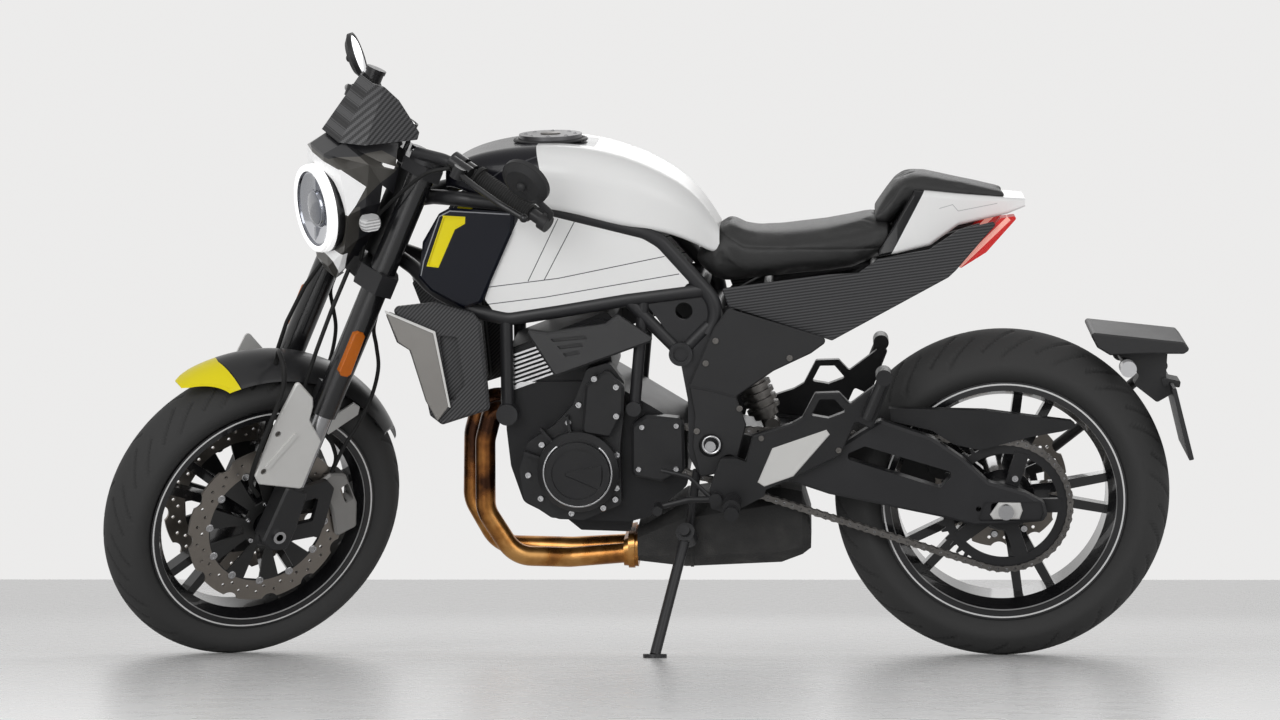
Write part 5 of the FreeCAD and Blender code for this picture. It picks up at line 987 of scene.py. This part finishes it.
def chain_points(along):
    """Points of the chain's closed line, given shares of its length.

    Two straight runs touch both sprockets; round a sprocket a point turns at its radius.
    """
    big, small = CHAIN_RADII
    rear, front = np.array((WHEELBASE, REAR_RADIUS)), np.array(SHAFT)
    run = rear - front
    reach = np.linalg.norm(run)
    tilt = math.atan2(run[1], run[0])
    opening = math.acos((big - small) / reach)
    straight = math.sqrt(reach ** 2 - (big - small) ** 2)
    upper, lower = tilt + math.pi - opening, tilt + math.pi + opening
    rear_arc = big * (2 * math.pi - 2 * opening)
    total = 2 * straight + rear_arc + small * 2 * opening

    def rim(centre, radius, angle):
        return centre + radius * np.stack([np.cos(angle), np.sin(angle)], axis=-1)

    part = np.mod(along, 1.0)[:, None] * total
    after_arc = part - straight - rear_arc
    top = rim(front, small, upper) + (rim(rear, big, upper)
                                      - rim(front, small, upper)) * part / straight
    behind = rim(rear, big, upper - (part[:, 0] - straight) / big)
    bottom = rim(rear, big, lower) + (rim(front, small, lower)
                                      - rim(rear, big, lower)) * after_arc / straight
    ahead = rim(front, small, lower - (after_arc[:, 0] - straight) / small)
    return np.where(part < straight, top, np.where(
        after_arc < 0, behind, np.where(after_arc < straight, bottom, ahead)))


def link_outline():
    """Figure-eight outline of a link plate: two round ends and a narrow waist."""
    end_radius, waist_half = 6.9, 4.7
    angles = np.radians(np.linspace(-66, 66, 6))
    right = np.stack([CHAIN_PITCH / 2 + end_radius * np.cos(angles),
                      end_radius * np.sin(angles)], axis=1)
    waist = np.array([(0.0, waist_half)])
    return np.concatenate([right, waist, -right, -waist])


def make_chain(settings):
    """Drive chain: figure-eight plates on pins, outer and inner pairs in turn.

    A link's plate points are middle + u along + v across, with u along the line between its
    two pins.
    """
    plate, inner_face, outer_face = 1.4, 4.1, 5.7
    pin, roller, pin_half, roller_half = 2.6, 4.9, 7.1, 4.0
    count = settings.chain_links
    pins = chain_points(np.arange(count) / count)
    following = np.roll(pins, -1, axis=0)
    away = following - pins
    away /= np.linalg.norm(away, axis=1, keepdims=True)
    aside = np.stack([-away[:, 1], away[:, 0]], axis=1)
    outline = link_outline()
    size = len(outline)
    flat = ((pins + following)[:, None] / 2 + outline[:, :1] * away[:, None]
            + outline[:, 1:] * aside[:, None])
    near = np.where(np.arange(count) % 2 == 0, inner_face, outer_face)[:, None]
    layers = [[CHAIN_LINE + side * (near + offset) + np.zeros(size) for offset in (0.0, plate)]
              for side in (-1, 1)]
    y = np.moveaxis(np.array(layers), 2, 0)
    x, z = (np.broadcast_to(flat[:, None, None, :, axis], y.shape) for axis in (0, 1))
    one = grid_faces(2, size, False, True).tolist()
    one += [list(range(size)), list(range(2 * size - 1, size - 1, -1))]
    piece = add_piece("chain_plates", np.stack([x, y, z], axis=-1),
                      repeat_faces(one, 2 * count, 2 * size), dark_steel(), "frame", MACHINE,
                      smooth=False)
    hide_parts("drive_chain")
    profile = [(0, -pin_half), (pin, -pin_half), (pin, -roller_half), (roller, -roller_half),
               (roller, roller_half), (pin, roller_half), (pin, pin_half), (0, pin_half)]
    spots = np.insert(pins, 1, CHAIN_LINE, axis=1)
    rollers = turned_row("chain_rollers", profile, spots, bright_steel(), "frame", MACHINE,
                         count=8)


def make_drive(settings):
    dress(casting_black(), "rear_sprocket", "chain_guard")
    dress(bright_steel(), "rear_axle", "pivot_bolt", "front_axle")
    make_chain(settings)
    nuts = around(56.0, y=CHAIN_LINE - 4, count=6, first=10.0)
    screws("sprocket_nuts", nuts, bright_steel(), "rear_wheel", REAR, radius=7.0, height=6.0)
    slab("axle_adjusters", [(1406, 308), (1412, 299), (1460, 299), (1466, 315), (1462, 330),
                            (1422, 331)], cast_silver(), "frame", MACHINE, front=-147.5,
         back=-140.6, edge=2.0)


def make_fork_caps():
    """Caps that close the fork's tubes, with a raised boss."""
    bore, rim, boss = 20.4, 23.0, 12.0
    cap = [(0, -12), (bore, -12), (bore, 0.1), (rim, 0.1), (rim, 2.2), (rim - 1, 3.2),
           (boss, 3.2), (boss - 1, 8.0), (0, 8.0)]
    for word, side in SIDES:
        top = about(FORK, (0.0, LEG_Y * side, FORK_TOP), (0, 0, 1))
        lathe(word + "_fork_cap", cap, satin_black(), "steering", top, count=40)


def make_fork(settings):
    dress(frame_black(), "lower_yoke", "upper_yoke")
    dress(tube_black(), "fork_outer_tubes")
    dress(fork_metal(), "fork_bottoms")
    dress(cast_silver(), "fork_guards")
    dress(fender_paint(settings), "front_fender")
    make_fork_caps()
    slab("fork_reflectors", [(-19, 346), (-12, 339), (1, 339), (7, 346), (4, 424), (-3, 430),
                             (-13, 430), (-19, 424)], reflector_orange(), "steering", FORK,
         front=-125.0, back=-112.0, edge=1.5)
    screws("guard_screws", [(-88, -117.5, 122), (-90, -117.5, 200)], dark_steel(), "steering",
           FORK, radius=5.6, height=4.0, both=True)
    slab("fender_braces", [(24, 192), (34, 190), (90, 256), (87, 272), (72, 277), (16, 216)],
         cast_silver(), "steering", FORK, front=-71.0, back=-65.5, edge=1.4)
    tube("sensor_line", [(-100, -36, 303), (-106, -42, 322), (-122, -66, 339),
                         (-132, -94, 341), (-129, -117, 326), (-121, -128, 294),
                         (-118, -130, 250), (-118, -130, 200), (-114, -126, 146),
                         (-96, -108, 92), (-60, -92, 62)], "steering", FORK, radius=4.6)
    tube("brake_lines", [(-4, -72, 520), (22, -92, 480), (30, -99, 436), (50, -100, 404),
                         (74, -98, 362), (86, -95, 304), (84, -92, 245), (76, -90, 198),
                         (74, -88, 150)], "steering", FORK, radius=3.8, both=True)


def make_mirrors():
    """Mirror glass: a shallow dome, radius r at height rise (1 - (r / R)^2), in each shell."""
    radius, rise, back, seat = 42.5, 1.5, -0.8, 4.0
    reach = np.linspace(radius, 0, 9)
    dome = np.stack([reach, rise * (1 - (reach / radius) ** 2)], axis=1).tolist()
    for word, side in SIDES:
        way = Vector((0.583, -0.45 * side, 0.650)).normalized()
        centre = Vector((41.0, 362.0 * side, YOKE_FACE + 74.5)) + way * seat
        glass = lathe(word + "_mirror_glass", [(0, back), (radius, back)] + dome,
                      clear_mirror(), "steering", about(FORK, centre, way))


def make_instrument_face():
    """Round dark glass on the instrument, facing up and to the rider."""
    dark = dark_glass("instrument_glass", (0.006, 0.007, 0.009), (0.010, 0.011, 0.013),
                      roughness=0.06)
    back, up = 0.5, 0.86
    way = Vector((back * math.cos(RAKE) - up * math.sin(RAKE), 0,
                  back * math.sin(RAKE) + up * math.cos(RAKE))).normalized()
    centre = Vector((-47.0, 0.0, YOKE_FACE + 38.0)) + way * 16.0
    lathe("instrument_face", [(0, 0), (43.5, 0), (43.5, 1.0), (38, 2.0), (0, 2.6)], dark,
          "steering", about(FORK, centre, way))


def make_cockpit(settings):
    dress(frame_black(), "handlebars")
    dress(grip_rubber(), "grips")
    dress(satin_black(), "bar_end_mirrors", "instrument")
    dress(control_black(), "hand_controls")
    dress(carbon("screen_carbon", FORK, turn=70.0, tow=2.6), "fly_screen")
    make_mirrors()
    cable = [(-10, 196, 26), (-38, 168, -4), (-44, 120, -66), (-38, 60, -150), (-22, 48, -222)]
    for word, side in SIDES:
        route = np.multiply(cable, (1, side, 1)) + (0, 0, YOKE_FACE)
        tube(word + "_bar_cable", route, "steering", FORK, radius=3.6)
    make_instrument_face()


def make_light_ring(glow, axis):
    """White ring round the headlight's bowl, half an ellipse on a flat foot."""
    radius, half_width, middle, rise, foot = 76.5, 5.2, 19.0, 3.4, 17.5
    angles = np.radians(np.linspace(0, 180, 9))
    bead = np.stack([radius + half_width * np.cos(angles), middle + rise * np.sin(angles)],
                    axis=1).tolist()
    ring = lathe("light_ring", bead + [(radius - half_width, foot), (radius + half_width, foot)],
                 glow, "steering", axis, count=96)


def make_projector(axis):
    """Chromed reflector, and the projector's domed glass in its middle."""
    lathe("lamp_reflector", [(33, 9.0), (40, 9.6), (52, 11.2), (64, 14.2), (69.5, 17.0),
                             (69.5, 8.2), (33, 8.2)], lamp_chrome(), "steering", axis, count=72)
    glass = dark_glass("projector_glass", (0.10, 0.11, 0.13), (0.16, 0.17, 0.20),
                       roughness=0.04)
    radius, back, rim, rise = 31.0, 14.8, 15.2, 3.4
    dome = [(radius * math.sin(turn), rim + rise * math.cos(turn))
            for turn in np.linspace(math.pi / 2, 0, 9)]
    lathe("lamp_projector", [(0, back), (radius, back)] + dome, glass, "steering", axis)


def make_lamp_bars():
    """Upright chromed bars between the projector and the ring, above and below."""
    half, near, far, place = 3.5, 36, 66, -12.4
    across = about(LAMP, (place, 0, 0), (1, 0, 0))
    for word, low, high in (("lower", -far, -near), ("upper", near, far)):
        corners = [(-half, low), (half, low), (half, high), (-half, high)]
        slab(word + "_lamp_bar", corners, lamp_chrome(), "steering", across, front=-2.0,
             back=3.0, edge=1.0, both=False)


def make_lamps(settings):
    glow = lamp_body(settings)
    dress(glow, "headlight")
    dress(cowl_paint(settings), "headlight_cowl")
    dress(tail_lens(settings), "tail_lights")
    forwards = about(LAMP, (0, 0, 0), (-1, 0, 0))
    make_light_ring(glow, forwards)
    make_projector(forwards)
    make_lamp_bars()


def make_chassis(settings):
    dress(frame_black(), "main_frame", "subframe", "side_stand", "swingarm")
    dress(satin_black(), "pivot_covers")
    dress(cover_grey(), "intake_covers")
    dress(plate_holder_plastic(), "plate_holder")
    dress(casting_black(), "foot_rests", "foot_levers")
    dress(dark_steel(), "rear_shock")
    slab("heel_plates", [(978, 379), (990, 371), (1044, 390), (1112, 468), (1106, 477),
                         (1006, 443)], cast_silver(), "frame", MACHINE, front=-171.5,
         back=-167.6, edge=1.6)
    cover_y, heel_y = -139.2, -167.8
    places = [(x, cover_y, z)
              for x, z in ((885, 598), (904, 640), (1040, 606), (866, 470), (946, 512))]
    screws("pivot_cover_screws", places, dark_steel(), "frame", MACHINE, radius=6.0,
           height=2.6, both=True)
    screws("heel_screws", [(986, heel_y, 462), (1128, heel_y, 438)], dark_steel(), "frame",
           MACHINE, radius=5.5, height=3.5, both=True)
    collar = [(13.5, -2.0), (18.0, -2.0), (18.0, 1.6), (16.5, 2.4), (13.5, 1.4)]
    for word, side in SIDES:
        place = about(MACHINE, (893.0, 148.5 * side, 446.0), (0, side, 0))
        lathe(word + "_pivot_ring", collar, bright_steel(), "frame", place, count=40)


def make_engine(settings):
    dress(engine_metal(), "engine")
    dress(casting_black(), "engine_covers")
    dress(radiator_core(), "radiator")
    upper_y, rim_y, shield_y, clutch_y, clutch_radius = -149.6, -129.6, -133.8, 139.8, 88.0
    places = [(x, upper_y, z) for x, z in ((679, 574), (719, 558), (718, 503))]
    places += [(x, rim_y, z) for x, z in (
        (647, 521), (627, 488), (576, 446), (549, 388), (571, 343), (628, 314), (688, 324),
        (711, 340), (714, 362), (716, 425))]
    screws("generator_screws", places, bright_steel(), "frame", MACHINE, radius=6.4,
           height=6.0)
    places = [(x, shield_y, z) for x, z in ((764, 478), (828, 480), (756, 398), (826, 398))]
    screws("shield_screws", places, bright_steel(), "frame", MACHINE, radius=5.6, height=5.0)
    clutch = around(clutch_radius, clutch_y, count=8) + (690, 0, 410)
    screws("clutch_screws", clutch, bright_steel(), "frame", MACHINE, radius=5.6, height=6.0)
    hub = about(MACHINE, (644, -161.8, 397), (0, -1, 0))
    lathe("generator_ring", [(61.0, -0.6), (65.2, -0.6), (65.2, 0.9), (64.4, 1.6), (61.8, 1.6),
                             (61.0, 0.9)], bright_steel(), "frame", hub, count=90,
          turn=(130.0, 415.0))
    slab("generator_badge", [(622, 394), (684, 366), (690, 384), (691, 414), (622, 400)],
         casting_black(), "frame", MACHINE, front=-169.6, back=-166.6, edge=1.4, both=False)


def make_exhaust(settings):
    dress(heat_bronze(), "header_pipes")
    dress(crinkle_black(), "muffler")


def make_fuel_cap():
    """Surround on the tank, and the screws and lock on the flap."""
    x, ring_base, flap_top = 597, 1000.4, 1012.1
    ring = [(67.5, 0.0), (70.0, 0.0), (69.0, 3.2), (60.4, 4.4), (60.4, 0.0)]
    lathe("cap_surround", ring, satin_black(), "frame",
          about(MACHINE, (x, 0, ring_base), (0, 0, 1)), count=72)
    flap = about(MACHINE, (x, 0, flap_top), (0, 0, 1))
    screws("cap_screws", around(46.0, y=0.1, count=8), bright_steel(), "fuel_cap", flap,
           radius=3.6, height=1.6)
    lathe("cap_lock", [(0, 0), (19, 0), (19, 1.6), (16, 2.6), (0, 2.6)], dark_steel(),
          "fuel_cap", flap, count=36)


def make_bodywork(settings):
    dress(tank_paint(settings), "fuel_tank")
    dress(panel_paint(settings), "side_panels")
    dress(tail_paint(settings), "tail_cowl")
    dress(cover_paint(settings), "front_covers")
    dress(cap_grey(), "fuel_cap")
    dress(carbon("side_carbon", MACHINE, turn=-52.0), "tail_panels")
    dress(carbon("shroud_carbon", MACHINE, turn=-90.0), "radiator_shrouds")
    inner_y = -181.0
    plates = [(301, 708), (322, 653), (344, 637), (370, 541), (389, 503), (411, 531), (388, 669)]
    slab("shroud_plates", plates, plate_grey(), "frame", MACHINE, front=-184.5, back=inner_y,
         edge=1.6)
    edge = [(300, 712), (391, 672), (414, 530), (411, 531), (388, 669), (301, 708)]
    slab("shroud_edges", edge, cast_silver(), "frame", MACHINE, front=-185.4, back=inner_y,
         edge=0.5)
    make_fuel_cap()


def pad_surface(stations, inset):
    """Rounded form through stations of (x, half width, bottom, top), drawn in by an inset.

    A section is a superellipse, |y / w| ^ n + |z / h| ^ n = 1 about the station's middle.
    """
    power = 3.2
    rows = np.array(stations, float)
    x = np.linspace(rows[0, 0], rows[-1, 0], 90)
    half, low, high = (np.interp(x, rows[:, 0], rows[:, column])[:, None]
                       for column in (1, 2, 3))
    angle = np.linspace(0, 2 * math.pi, 48, endpoint=False)
    across, up = (np.sign(part) * np.abs(part) ** (2 / power)
                  for part in (np.cos(angle), np.sin(angle)))
    y = (half - inset) * across
    z = (low + high) / 2 + ((high - low) / 2 - inset) * up
    return closed_ends(np.stack([np.broadcast_to(x[:, None], y.shape), y, z], axis=-1))


def apply_modifier(piece, modifier):
    with bpy.context.temp_override(object=piece, active_object=piece):
        bpy.ops.object.modifier_apply(modifier=modifier.name)


def vertex_places(mesh):
    places = np.empty(len(mesh.vertices) * 3)
    mesh.vertices.foreach_get("co", places)
    return places.reshape(-1, 3)


def inflate(piece, pressure):
    """Swell a closed pad with cloth under pressure, then limit how far each point moved."""
    most, cell, frames = 5.0 * MM, 5.0 * MM, 20
    scene = bpy.context.scene
    remesh = piece.modifiers.new("Even", "REMESH")
    remesh.mode = "VOXEL"
    remesh.voxel_size = cell
    bpy.context.view_layer.objects.active = piece
    apply_modifier(piece, remesh)
    before = vertex_places(piece.data)
    cloth = piece.modifiers.new("Cloth", "CLOTH")
    cloth.settings.use_pressure = True
    cloth.settings.uniform_pressure_force = pressure
    cloth.settings.effector_weights.gravity = 0.0
    cloth.settings.quality = 5
    cloth.settings.mass = 0.3
    for number in range(1, frames + 1):
        scene.frame_set(number)
    moved = vertex_places(piece.evaluated_get(bpy.context.evaluated_depsgraph_get()).data) - before
    piece.modifiers.remove(cloth)
    scene.frame_set(1)
    length = np.linalg.norm(moved, axis=1, keepdims=True)
    moved *= np.minimum(1.0, most / np.maximum(length, 1e-9))
    piece.data.vertices.foreach_set("co", (before + moved).ravel())
    smooth = piece.modifiers.new("Smooth", "SUBSURF")
    smooth.levels = smooth.render_levels = 1
    apply_modifier(piece, smooth)
    piece.data.shade_smooth()


def press_seam(piece):
    """Press a groove into the sides of a pad along the seam's line.

    A point within the half width of the line moves inwards by depth times a cosine bump, which
    fades in over the pad's shoulder.
    """
    half_width, depth, shoulder, fade = 3.5, 1.6, 50, 15
    local = placed(vertex_places(piece.data), MACHINE.inverted())
    x, y, z = local.T
    level = SEAM_LEVEL - SEAM_FALL * x + SEAM_RISE * np.maximum(SEAM_BEND - x, 0)
    offset = np.minimum(np.abs(z - level) / half_width, 1)
    bump = (1 + np.cos(math.pi * offset)) / 2 * depth
    local[:, 1] -= np.sign(y) * bump * np.clip((np.abs(y) - shoulder) / fade, 0, 1)
    piece.data.vertices.foreach_set("co", placed(local, MACHINE).ravel())
    piece.data.update()


def make_pad(name, stations, material, settings):
    points = pad_surface(stations, inset=2.5)
    faces = grid_faces(points.shape[0], points.shape[1], False, True)
    piece = add_piece(name, points, faces, material, "frame", MACHINE)
    inflate(piece, settings.seat_pressure)
    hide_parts("seat")
    return piece


def make_seat(settings):
    """Rider's cushion with a raised front edge, and the pad on the hump behind it."""
    cushion = [(866, 60, 780, 792), (880, 72, 760, 806), (900, 82, 743, 826), (918, 86, 738, 842),
               (931, 89, 738, 847), (944, 93, 739, 842), (958, 97, 741, 833), (985, 104, 745, 828),
               (1030, 110, 750, 829), (1110, 113, 757, 837), (1160, 106, 763, 846),
               (1190, 97, 775, 853), (1212, 92, 788, 857), (1226, 86, 800, 856)]
    pad = [(1202, 78, 838, 862), (1222, 79, 834, 892), (1240, 78, 850, 917), (1254, 77, 866, 930),
           (1292, 73, 880, 928), (1380, 63, 880, 908), (1440, 54, 878, 893)]
    leather = seat_leather()
    press_seam(make_pad("seat_cushion", cushion, leather, settings))
    make_pad("hump_pad", pad, leather, settings)


# The stage, in metres

def add_object(name, data):
    thing = bpy.data.objects.new(name, data)
    bpy.context.scene.collection.objects.link(thing)
    return thing


def add_floor(settings):
    size = 30.0
    mesh = bpy.data.meshes.new("floor")
    mesh.from_pydata([(-size, -size, 0), (size, -size, 0), (size, size, 0), (-size, size, 0)],
                     [], [(0, 1, 2, 3)])
    tone = settings.floor_colour[:]
    mesh.materials.append(finish("floor_paint", tone, tuple(0.97 * part for part in tone), 0.28,
                                 scale=3.0, depth=0.0))
    add_object("floor", mesh)


def add_world(settings):
    """Soft white surroundings; the camera, mirrors and glass see a plain pale backdrop."""
    world = bpy.data.worlds.new("studio")
    bpy.context.scene.world = world
    world.use_nodes = True
    tree = world.node_tree
    light = tree.nodes["Background"]
    feed(light, {"Color": (1, 1, 1), "Strength": settings.sky_strength})
    seen = add_node(tree, "ShaderNodeBackground", {"Color": (0.84, 0.835, 0.83)})
    rays = add_node(tree, "ShaderNodeLightPath")
    direct = reduce(or_, [Value(rays.outputs["Is %s Ray" % kind])
                          for kind in ("Camera", "Glossy", "Transmission")])
    both = add_node(tree, "ShaderNodeMixShader", {
        0: direct, 1: Value(light.outputs[0]), 2: Value(seen.outputs[0])})
    feed(tree.nodes["World Output"], {0: Value(both.outputs[0])})


def add_lamps(settings):
    """Square lamps by place, size and power, aimed at the middle of the machine."""
    aim = Vector((0, 0, 0.5))
    for name, place, size, power in (("key", (-1.6, -4.6, 1.7), 2.8, 96.0),
                                     ("fill", (3.2, -3.6, 1.5), 2.5, 34.0),
                                     ("rim", (0.5, 3.3, 3.0), 2.0, 20.0)):
        lamp = bpy.data.lights.new(name, "AREA")
        lamp.size = size
        lamp.energy = power * settings.lamp_level
        thing = add_object(name, lamp)
        thing.location = place
        thing.rotation_euler = (aim - Vector(place)).to_track_quat("-Z", "Y").to_euler()


def add_camera(settings):
    camera = bpy.data.cameras.new("camera")
    camera.lens = settings.focal_length
    camera.sensor_width = 36.0
    thing = add_object("camera", camera)
    thing.location = MACHINE.translation + Vector(settings.camera_offset)
    thing.rotation_euler = (math.pi / 2 + settings.camera_pitch, 0, settings.camera_yaw)
    bpy.context.scene.camera = thing


def make_stage(settings):
    """Pale floor, soft white surroundings, lamps and the camera of the photograph."""
    bpy.context.scene.view_settings.view_transform = "Standard"
    add_floor(settings)
    add_world(settings)
    add_lamps(settings)
    add_camera(settings)


# The add-on: settings, one operator for each group of pieces, and the panel

class MotorcycleSettings(bpy.types.PropertyGroup):
    """Sizes and colours that a user would change."""

    body_white: bpy.props.FloatVectorProperty(
        name="Body", description="Paint of the tank, side panels and tail", subtype="COLOR",
        size=3, min=0.0, max=1.0, default=(0.80, 0.80, 0.795))
    accent_yellow: bpy.props.FloatVectorProperty(
        name="Accents", description="Paint of the fender tip and the front recesses",
        subtype="COLOR", size=3, min=0.0, max=1.0, default=(0.80, 0.68, 0.01))
    tread_cuts: bpy.props.IntProperty(
        name="Tread cuts", description="Cuts round each side of a tyre", default=36, min=8)
    tread_depth: bpy.props.FloatProperty(
        name="Tread depth", description="Depth of the tread's cuts in millimetres", default=4.8,
        min=0.0, max=6.0)
    chain_links: bpy.props.IntProperty(
        name="Chain links", description="Links of the drive chain, an even number", default=112,
        min=60)
    seat_pressure: bpy.props.FloatProperty(
        name="Seat pressure", description="Pressure that swells the seat's cover", default=4.0,
        min=0.0)
    lamp_glow: bpy.props.FloatProperty(
        name="Lamp glow", description="Strength of the headlight's ring", default=0.5, min=0.0)
    lamp_level: bpy.props.FloatProperty(
        name="Studio lamps", description="Level of the studio lamps", default=1.0, min=0.0)
    sky_strength: bpy.props.FloatProperty(
        name="Surroundings", description="Level of the light from all round", default=0.42,
        min=0.0)
    floor_colour: bpy.props.FloatVectorProperty(
        name="Floor", description="Colour of the floor", subtype="COLOR", size=3, min=0.0,
        max=1.0, default=(0.80, 0.80, 0.80))
    focal_length: bpy.props.FloatProperty(
        name="Focal length", description="Lens of the camera", unit="CAMERA", default=84.14)
    camera_offset: bpy.props.FloatVectorProperty(
        name="Camera place", description="Camera from the ground under the front axle",
        subtype="TRANSLATION", size=3, default=(1.1289, -5.7914, 0.176))
    camera_pitch: bpy.props.FloatProperty(
        name="Camera pitch", description="Upward tilt of the camera", subtype="ANGLE",
        default=math.radians(3.927))
    camera_yaw: bpy.props.FloatProperty(
        name="Camera yaw", description="Turn of the camera to its left", subtype="ANGLE",
        default=math.radians(3.837))


class MOTORCYCLE_OT_stage(bpy.types.Operator):
    """Floor, surroundings, lamps and camera."""

    bl_idname = "motorcycle.stage"
    bl_label = "Stage"

    def execute(self, context):
        make_stage(context.scene.motorcycle)
        return {"FINISHED"}


class MOTORCYCLE_OT_tyres(bpy.types.Operator):
    """Tyres with cut tread."""

    bl_idname = "motorcycle.tyres"
    bl_label = "Tyres"

    def execute(self, context):
        make_tyres(context.scene.motorcycle)
        return {"FINISHED"}


class MOTORCYCLE_OT_wheels(bpy.types.Operator):
    """Wheel paint and its painted highlight lines."""

    bl_idname = "motorcycle.wheels"
    bl_label = "Wheels"

    def execute(self, context):
        make_wheels(context.scene.motorcycle)
        return {"FINISHED"}


class MOTORCYCLE_OT_brakes(bpy.types.Operator):
    """Discs, calipers, hoses and disc buttons."""

    bl_idname = "motorcycle.brakes"
    bl_label = "Brakes"

    def execute(self, context):
        make_brakes(context.scene.motorcycle)
        return {"FINISHED"}


class MOTORCYCLE_OT_drive(bpy.types.Operator):
    """Chain, sprocket nuts and axle adjusters."""

    bl_idname = "motorcycle.drive"
    bl_label = "Drive"

    def execute(self, context):
        make_drive(context.scene.motorcycle)
        return {"FINISHED"}


class MOTORCYCLE_OT_fork(bpy.types.Operator):
    """Fork legs, yokes, fender and reflectors."""

    bl_idname = "motorcycle.fork"
    bl_label = "Fork"

    def execute(self, context):
        make_fork(context.scene.motorcycle)
        return {"FINISHED"}


class MOTORCYCLE_OT_cockpit(bpy.types.Operator):
    """Bars, grips, controls, screen and mirrors."""

    bl_idname = "motorcycle.cockpit"
    bl_label = "Cockpit"

    def execute(self, context):
        make_cockpit(context.scene.motorcycle)
        return {"FINISHED"}


class MOTORCYCLE_OT_lamps(bpy.types.Operator):
    """Headlight with its ring, cowl and tail lights."""

    bl_idname = "motorcycle.lamps"
    bl_label = "Lamps"

    def execute(self, context):
        make_lamps(context.scene.motorcycle)
        return {"FINISHED"}


class MOTORCYCLE_OT_chassis(bpy.types.Operator):
    """Frame, swingarm, rests and their screws."""

    bl_idname = "motorcycle.chassis"
    bl_label = "Chassis"

    def execute(self, context):
        make_chassis(context.scene.motorcycle)
        return {"FINISHED"}


class MOTORCYCLE_OT_engine(bpy.types.Operator):
    """Engine, covers, radiator and screws."""

    bl_idname = "motorcycle.engine"
    bl_label = "Engine"

    def execute(self, context):
        make_engine(context.scene.motorcycle)
        return {"FINISHED"}


class MOTORCYCLE_OT_exhaust(bpy.types.Operator):
    """Header pipes and muffler."""

    bl_idname = "motorcycle.exhaust"
    bl_label = "Exhaust"

    def execute(self, context):
        make_exhaust(context.scene.motorcycle)
        return {"FINISHED"}


class MOTORCYCLE_OT_bodywork(bpy.types.Operator):
    """Tank, panels, shrouds and fuel cap."""

    bl_idname = "motorcycle.bodywork"
    bl_label = "Bodywork"

    def execute(self, context):
        make_bodywork(context.scene.motorcycle)
        return {"FINISHED"}


class MOTORCYCLE_OT_seat(bpy.types.Operator):
    """Padded seat and hump pad."""

    bl_idname = "motorcycle.seat"
    bl_label = "Seat"

    def execute(self, context):
        make_seat(context.scene.motorcycle)
        return {"FINISHED"}


OPERATORS = [
    MOTORCYCLE_OT_stage, MOTORCYCLE_OT_tyres, MOTORCYCLE_OT_wheels, MOTORCYCLE_OT_brakes,
    MOTORCYCLE_OT_drive, MOTORCYCLE_OT_fork, MOTORCYCLE_OT_cockpit, MOTORCYCLE_OT_lamps,
    MOTORCYCLE_OT_chassis, MOTORCYCLE_OT_engine, MOTORCYCLE_OT_exhaust, MOTORCYCLE_OT_bodywork,
    MOTORCYCLE_OT_seat,
]


class MOTORCYCLE_PT_panel(bpy.types.Panel):
    """Lists the pieces and their settings."""

    bl_label = "Motorcycle"
    bl_idname = "MOTORCYCLE_PT_panel"
    bl_space_type = "VIEW_3D"
    bl_region_type = "UI"
    bl_category = "Motorcycle"

    def draw(self, context):
        for made in OPERATORS:
            self.layout.operator(made.bl_idname)
        for name in MotorcycleSettings.__annotations__:
            self.layout.prop(context.scene.motorcycle, name)


CLASSES = [MotorcycleSettings, *OPERATORS, MOTORCYCLE_PT_panel]


def register():
    for made in CLASSES:
        bpy.utils.register_class(made)
    bpy.types.Scene.motorcycle = bpy.props.PointerProperty(type=MotorcycleSettings)


def unregister():
    del bpy.types.Scene.motorcycle
    for made in reversed(CLASSES):
        bpy.utils.unregister_class(made)


def main():
    register()
    for made in OPERATORS:
        getattr(bpy.ops.motorcycle, made.bl_idname.split(".")[1])()


if __name__ == "__main__":
    main()
